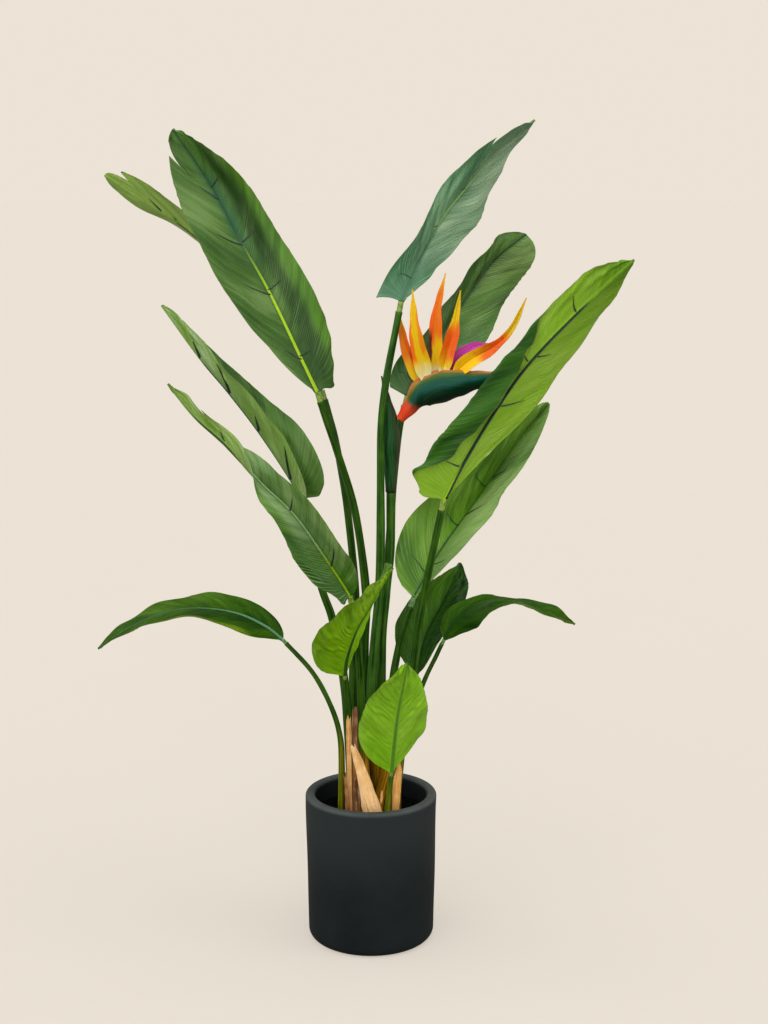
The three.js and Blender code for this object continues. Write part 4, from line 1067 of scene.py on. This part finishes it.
def bract(path):
    """The green bract round the stem's head: a boat-shaped sheath with a lip along its open edge."""
    n = Nodes("bract")
    share, out = n.uv("shares")
    streak = n.streaks(*n.uv("lengths"), 14.0, 500.0)
    color = n.mix(n.span(streak, 0.35, 0.65), (4, 46, 12), (26, 78, 30))
    color = n.mix(n.span(out, 0.1, 0.22, 0.5, 0.0), color, (56, 40, 26))
    color = n.mix(n.span(share, 0.0, 0.08, 0.8, 0.0), color, (30, 30, 16))
    material = n.finish(color, n.span(streak, 0.3, 0.7, 0.34, 0.5), streak, 0.0005, 0.15)
    u = np.linspace(0, 1, 80)
    sides = 40
    radius = eased(BRACT_RADIUS, u)

    def section(share, angle):
        lip = np.exp(-(((angle - 0.5 * math.pi - 0.9) / 0.16) ** 2))
        return 1 + 0.05 * lip * smooth_step(0.1, 0.4, share) + 0.012 * np.sin(11 * angle)

    body = loft(tube_rings(path, u, radius, sides=sides, section=section))
    from_lip = np.abs(((np.arange(sides) / sides * 2 - 0.5 - 0.9 / math.pi + 1) % 2) - 1)
    maps = tube_lengths(path, u, radius, sides), tube_shares(u, from_lip)
    settle(make("flower_bract", body, [material], *maps), "bract", "flower_bract")


def spathe():
    """The beak: a deep boat with a pinched upper edge, painted from a red neck to a teal body, darker below
    as painted shade, with a painted highlight along its side.
    """
    path = Path(SPATHE_PATH)
    u = np.linspace(0, 1, 130)
    sides = 64
    height, depth = eased(SPATHE_HEIGHT, u), eased(SPATHE_DEPTH, u)

    def section(share, angle):
        top = np.maximum(0, np.cos(angle)) ** 6
        seam = np.exp(-((np.minimum(angle, FULL_TURN - angle) / 0.09) ** 2))
        open_part = smooth_step(0.18, 0.3, share)
        return 1 + open_part * (0.03 * top - 0.07 * seam) + 0.01 * np.sin(5 * angle + 9 * share)

    body = loft(tube_rings(path, u, height, depth, sides, section))
    rise = (np.cos(circle(sides)) + 1) / 2
    maps = tube_lengths(path, u, height, sides), tube_shares(u, rise)
    n = Nodes("spathe")
    share, out = n.uv("shares")
    x, y = n.uv("lengths")
    cloud = n.streaks(x, y, 30.0, 60.0, 3.0, 0.55, 0.3)
    streak = n.streaks(x, y, 14.0, 420.0)
    level = n.plus(out, n.times(n.minus(cloud, 0.5), 0.28))
    # From the underside to the upper edge: darker greens below are painted shade, the lighter teal band
    # along the side is a painted highlight, then the olive and salmon of the upper edge.
    color = n.ramp(level, [
        (0.0, (10, 24, 10)), (0.16, (4, 28, 12)), (0.4, (0, 42, 22)), (0.58, (4, 70, 60)),
        (0.76, (6, 70, 42)), (0.87, (66, 88, 24)), (0.94, (150, 104, 50)),
        (1.0, (186, 102, 58)),
    ])
    neck = n.plus(share, n.times(n.minus(cloud, 0.5), 0.12))
    color = n.mix(n.span(neck, 0.09, 0.18, 1.0, 0.0), color, (210, 62, 30))
    color = n.mix(n.span(streak, 0.5, 0.75, 0.0, 0.08), color, (120, 130, 70))
    material = n.finish(color, n.span(streak, 0.3, 0.7, 0.3, 0.42), streak, 0.0004, 0.14)
    settle(make("flower_spathe", body, [material], *maps), "spathe", "flower_spathe")


# Dry sheaths

# Papers: the dark of cracks and of the painted shade in folds and along edges, then dark, middle and light
# of the fibres.
SHEATH_COLORS = {
    "tan": ((92, 54, 22), (164, 116, 62), (204, 156, 92), (226, 188, 130)),
    "pale": ((150, 98, 48), (206, 158, 98), (226, 182, 124), (238, 208, 162)),
    "orange": ((140, 84, 30), (200, 142, 70), (220, 166, 92), (234, 194, 132)),
    "brown": ((40, 22, 12), (96, 58, 32), (146, 100, 62), (190, 148, 108)),
}


def sheath_material(look, seed):
    """Papery fibres: fine lines along the strip, dark cracks, painted shade in its folds and along its
    edges, and stains toward its foot.
    """
    n = Nodes(f"dry_sheath_{seed}")
    crack_and_crease_shade, dark, middle, light = SHEATH_COLORS[look]
    u, v = n.uv("lengths")
    share, fold = n.uv("shares")
    fibre = n.streaks(u, v, 14.0, 1100.0, 4.0, 0.65, 0.4, seed)
    patch = n.noise(n.place(), 55.0, 4.0, 0.6, 0.6)
    tone = n.plus(n.times(fibre, 0.5), n.times(patch, 0.5))
    color = n.ramp(tone, [(0.34, dark), (0.5, middle), (0.64, light)])
    stain = n.times(n.span(share, 0.0, 0.45, 1.0, 0.0), n.span(patch, 0.46, 0.58))
    color = n.mix(n.times(stain, 0.7), color, (176, 104, 40))
    crumpled = n.times(n.span(share, 0.1, 0.4, 1.0, 0.0), n.span(patch, 0.5, 0.42))
    color = n.mix(n.times(crumpled, 0.7), color, light)
    thread = n.streaks(u, v, 9.0, 420.0, 2.0, 0.5, 0.2, seed + 4.0)
    edge = 0.62 if look == "pale" else 0.55
    color = n.mix(n.span(thread, edge, edge + 0.08, 0.0, 0.75), color, crack_and_crease_shade)
    # Painted shade: the fold valleys and the side edges take the dark crack colour.
    color = n.mix(n.span(fold, 0.25, 0.0, 0.0, 0.8), color, crack_and_crease_shade)
    return n.finish(color, n.span(fibre, 0.3, 0.7, 0.62, 0.85), fibre, 0.0012, 0.2)


def dry_sheath(name, shape, seed, nodes=()):
    """A strip of an old leaf base: lengthwise folds, fibres, and a broken top edge."""
    leaf = strip_values(shape, wave=0.9, waves=3, phase=0.2 * seed, fold=[[0], [0]])
    path = Path(leaf["rib"])
    t, c = np.meshgrid(np.linspace(0.0, 1, 84), np.linspace(-1, 1, 49), indexing="ij")
    parts = np.interp(c, np.linspace(-1, 1, len(shape["top"])), shape["top"])
    broken = parts + 0.012 * np.abs(ripple(seed + 30, c * 3, c, 6, 0.8, 3))
    bottom, end = path.points[0][2], path.points[-1][2]
    foot = max(0, (SOIL_TOP + CLEARANCE - bottom) / (end - bottom))
    place = foot + (1 - foot - broken) * t
    point, normal, distance = blade_surface(leaf, path, place, c)
    drift = 0.5 * ripple(seed, place * 1.3, 0 * c, 3, 0.3, 1)
    wave = np.abs(((1.35 * (c + drift * 0.4) + 0.37 * seed) % 1) * 2 - 1)
    folds = shape["pinch"] * (wave - 0.5) * (0.4 + 0.6 * smooth_step(0, 0.4, place))
    small = 0.22 * np.sin(23 * c + 3 * drift + seed)
    small = small + 0.25 * ripple(seed + 3, place * 3, c * 2, 5, 0.6, 1.8)
    fibres = 0.1 * ripple(seed + 9, place * 2, c * 14, 8, 0.5, 1.6)
    crumple = 0.5 * ripple(seed + 12, place * 7, c * 2, 6, 0.5, 1.5) * smooth_step(0.45, 0.1, place)
    wide_foot = leaf["profile"][0] > 6
    offset = folds + small + fibres + crumple * wide_foot
    upper = point + normal * (offset + SHEATH_THICKNESS / 2)[..., None]
    lower = point + normal * (offset - SHEATH_THICKNESS / 2)[..., None]
    for face in (upper, lower):
        face[..., 2] = np.maximum(face[..., 2], SOIL_TOP + CLEARANCE)
    body, on_rim, _ = sheet(upper, lower)
    # Where painted shade goes: the valleys of the deeper folds, and along the side edges of all but the
    # pale paper.
    valley = wave if shape["pinch"] > 0.8 else np.ones_like(wave)
    if shape["look"] != "pale":
        valley = np.minimum(valley, 0.08 + 3 * (1 - np.abs(c)))
    maps = both_faces(place * path.length * MM, c * distance * MM), both_faces(place, valley)
    piece = make(name, body, [sheath_material(shape["look"], seed)], *maps, sharp=on_rim)
    settle(piece, "dry_sheath", *nodes)


# Pot and soil

def arc(centre_r, centre_z, radius, start, end, steps):
    """Points of a profile on an arc, whose angles are in degrees."""
    angle = np.radians(np.linspace(start, end, steps))
    return np.stack([centre_r + radius * np.cos(angle), centre_z + radius * np.sin(angle)], -1)


def turned(profile, sides):
    """Rings of points from a profile of (radius, height)."""
    angle = circle(sides)
    r, z = profile[:, :1], profile[:, 1:]
    return np.stack([r * np.cos(angle), r * np.sin(angle), np.broadcast_to(z, (len(r), sides))], -1)


def pot():
    """The pot: a thick wall with a rounded foot and rim, slightly uneven; painted darker low down and
    within as shade, and lighter at the rim as wear and a painted highlight.
    """
    side_start = arc(POT_FOOT_RADIUS - POT_FOOT_ROUND, POT_FOOT_ROUND, POT_FOOT_ROUND, -90, 0, 14)
    rim_height = POT_HEIGHT - POT_RIM_ROUND
    rim_out = arc(POT_RADIUS - POT_RIM_ROUND, rim_height, POT_RIM_ROUND, 0, 90, 10)
    rim_in = arc(POT_INNER_RADIUS + POT_RIM_ROUND, rim_height, POT_RIM_ROUND, 90, 180, 10)
    wall = np.linspace(side_start[-1], rim_out[0], 40)[1:-1]
    inner = arc(POT_INNER_RADIUS - POT_FLOOR_ROUND, POT_FLOOR + POT_FLOOR_ROUND, POT_FLOOR_ROUND, 0, -90, 6)
    under = np.array([[r, 0] for r in (8, 24, 40, 54)], float)
    bottom = np.array([[r, POT_FLOOR] for r in (50, 30, 10)], float)
    rings = turned(np.concatenate([under, side_start, wall, rim_out, rim_in, inner, bottom]), 160)
    angle = np.arctan2(rings[..., 1], rings[..., 0])
    height = rings[..., 2]
    uneven = 0.18 * (np.sin(3 * angle + height * 0.03) + np.sin(5 * angle - height * 0.05))
    outside = smooth_step(12, 40, height) * smooth_step(POT_HEIGHT, POT_HEIGHT - 20, height)
    rings[..., :2] *= (1 + uneven * outside / POT_RADIUS)[..., None]
    n = Nodes("pot")
    place = n.place()
    x, y, z = n.split(place)
    cloud = n.noise(place, 14.0, 4.0, 0.6)
    speck = n.noise(place, 900.0, 2.0, 0.6)
    grain = n.noise(place, 2600.0, 2.0, 0.6)
    color = n.mix(n.span(cloud, 0.3, 0.7), (11, 17, 19), (19, 25, 26))
    color = n.mix(n.span(speck, 0.66, 0.74, 0.0, 0.3), color, (60, 66, 66))
    # Painted shade and light: the wall is darker toward its foot and lighter toward its top.
    color = n.mix(n.span(z, 0.05, 0.17, 0.0, 0.45), color, (44, 50, 51))
    radius = n.math("SQRT", n.plus(n.times(x, x), n.times(y, y)))
    # Painted shade: the pot's inner wall and floor are darker.
    painted_inner_shade = n.span(radius, (POT_INNER_RADIUS - 0.5) * MM, (POT_INNER_RADIUS + 1) * MM, 0.9, 0.0)
    color = n.mix(painted_inner_shade, color, (10, 13, 14))
    # The rim is painted lighter, partly as wear and partly as a painted highlight.
    on_rim = n.span(z, (POT_HEIGHT - 6) * MM, (POT_HEIGHT - 1) * MM)
    rim_wear_and_highlight = n.times(on_rim, n.span(cloud, 0.35, 0.6, 0.5, 0.9))
    color = n.mix(rim_wear_and_highlight, color, (68, 74, 73))
    bump = n.plus(n.times(speck, 0.6), n.times(grain, 0.4))
    material = n.finish(color, n.span(cloud, 0.3, 0.7, 0.58, 0.7), bump, 0.00025, 0.1)
    settle(make("pot", loft(rings[:, ::-1]), [material]), "pot", "pot")


def soil():
    """Dark soil: an uneven top with crumbs pressed into it."""
    rng = np.random.default_rng(11)
    radius = POT_INNER_RADIUS - CLEARANCE
    sides = 120
    r = np.concatenate([[0.6], np.linspace(2.5, radius - 0.2, 52)])
    x, y = r[:, None] * np.cos(circle(sides)), r[:, None] * np.sin(circle(sides))
    z = SOIL_TOP - 1.2 + 0.6 * ripple(21, x / 30, y / 30, 6, 0.5, 2)
    z = z + 0.35 * ripple(22, x / 8, y / 8, 8, 0.5, 2)
    top = np.stack([x, y, np.minimum(z, SOIL_TOP)], -1)
    side = np.array([[radius, 130], [radius, 60], [radius - 1, POT_FLOOR + 2], [40, POT_FLOOR + 0.4]])
    bodies = [loft(np.concatenate([top, turned(side, sides)])[:, ::-1])]
    points, faces = crumb_shape()
    for _ in range(CRUMBS):
        size = rng.uniform(*CRUMB_SIZES)
        distance = radius * math.sqrt(rng.random()) * 0.96
        turn = rng.uniform(0, FULL_TURN)
        x, y, z = (points * rng.uniform(0.6, 1.2, 3) * size).T
        spin = rng.uniform(0, FULL_TURN)
        cos, sin = math.cos(spin), math.sin(spin)
        centre = [distance * math.cos(turn), distance * math.sin(turn), SOIL_TOP - 0.9]
        bodies.append((np.stack([x * cos - y * sin, x * sin + y * cos, z], -1) + centre, faces))
    body, _ = joined(bodies)
    material = mottled_material("soil", (2, 2, 2), (9, 8, 7), 90.0, 0.85, 0.0012, 0.05)
    settle(make("soil", body, [material]), "soil", "soil")


def crumb_shape():
    """A small uneven ball of few faces."""
    rng = np.random.default_rng(5)
    sides = 6
    rings = []
    for k, z in enumerate((-0.75, -0.25, 0.35, 0.8)):
        angle = FULL_TURN * (np.arange(sides) + 0.5 * (k % 2)) / sides
        r = math.sqrt(1 - z * z) * rng.uniform(0.8, 1.1, sides)
        rings.append(np.stack([r * np.cos(angle), r * np.sin(angle), np.full(sides, z)], -1))
    return loft(np.array(rings))


# Studio

CAMERA_PLACE = (0.0159, -2.0949, 0.9432)
CAMERA_PITCH = 11.1
SENSOR_WIDTH = 36.0
FOCAL_PIXELS = 1800
LONG_SIDE_PIXELS = 1024
BACKDROP = srgb(236, 227, 214)

# Soft lights: (where from, strength as the brightness of white paper that faces it, width in degrees)
SOFT_LIGHTS = {
    "top": ((0.1, -0.2, 1.0), 0.6, 70),
    "right": ((1.0, -0.35, 0.35), 0.4, 50),
    "left": ((-1.0, 0.1, 0.45), 0.35, 60),
    "front": ((-0.35, -1.0, 0.35), 0.85, 80),
}
# How bright the backdrop lights the object, the share of the floor's tone that can be shaded, and how
# far the floor reaches
FILL = 0.55
FLOOR_SHADED = 0.45
FLOOR_REACH = 40_000


def soft_lights():
    """Adds the lights, and gives how bright they make white paper that lies on the floor."""
    lamps = 0
    for name, (toward, strength, width) in SOFT_LIGHTS.items():
        light = bpy.data.lights.new(name, "SUN")
        light.angle = math.radians(width)
        light.energy = strength * math.pi
        lamp = bpy.data.objects.new(name, light)
        bpy.context.scene.collection.objects.link(lamp)
        lamp.rotation_euler = mathutils.Vector(toward).to_track_quat("Z", "Y").to_euler()
        lamps += strength * toward[2] / math.hypot(*toward)
    return lamps


def lit_floor(lamps):
    """Adds a floor that shows the backdrop's tone where nothing shades it."""
    n = Nodes("floor")
    seen = n.add("ShaderNodeLightPath").outputs["Is Camera Ray"]
    n.feed(n.shader.inputs["Emission Color"], BACKDROP)
    n.feed(n.shader.inputs["Emission Strength"], n.span(seen, 0.0, 1.0, 0.1, 1 - FLOOR_SHADED))
    paint = [FLOOR_SHADED * x / (FILL * x + lamps) for x in BACKDROP[:3]]
    pale, paler = [(*[level * x for x in paint], 1) for level in (0.961, 0.977)]
    material = n.finish(n.mix(n.noise(n.place(), 3.0), pale, paler), 0.9, specular=0.0)
    corners = FLOOR_REACH * np.array([[-1, -1, 0], [1, -1, 0], [1, 1, 0], [-1, 1, 0]], float)
    floor = make("floor", (corners, np.array([[0, 1, 2, 3]])), [material])


def backdrop():
    """Adds the world: the backdrop's tone to the camera, and a dimmer fill light to the object."""
    world = bpy.data.worlds.new("studio")
    bpy.context.scene.world = world
    world.use_nodes = True
    tree = world.node_tree
    background = tree.nodes["Background"]
    background.inputs["Color"].default_value = BACKDROP
    seen = tree.nodes.new("ShaderNodeLightPath")
    level = tree.nodes.new("ShaderNodeMapRange")
    level.inputs["To Min"].default_value = FILL
    level.inputs["To Max"].default_value = 1.0
    tree.links.new(seen.outputs["Is Camera Ray"], level.inputs["Value"])
    tree.links.new(level.outputs["Result"], background.inputs["Strength"])


def studio():
    """A pale floor and backdrop of one tone, soft lights round the object, and the camera."""
    lit_floor(soft_lights())
    backdrop()
    scene = bpy.context.scene
    camera = bpy.data.cameras.new("camera")
    camera.sensor_width = SENSOR_WIDTH
    camera.lens = FOCAL_PIXELS * SENSOR_WIDTH / LONG_SIDE_PIXELS
    camera.clip_end = 200
    seat = bpy.data.objects.new("camera", camera)
    scene.collection.objects.link(seat)
    seat.location = CAMERA_PLACE
    seat.rotation_euler = (math.radians(90 - CAMERA_PITCH), 0, 0)
    scene.camera = seat
    scene.view_settings.view_transform = "Standard"


studio()
pot()
soil()
for index, number in enumerate(LEAVES):
    blade(number, index)
    stalk(number, index)
for seed, number in enumerate(DRY_SHEATHS):
    dry_sheath(f"dry_sheath_{number}", DRY_SHEATHS[number], seed, [f"dry_sheath_{number}"])
for seed, shape in enumerate(LOOSE_STRIPS):
    dry_sheath(f"loose_strip_{seed + 1}", shape, 20 + seed)
flower()
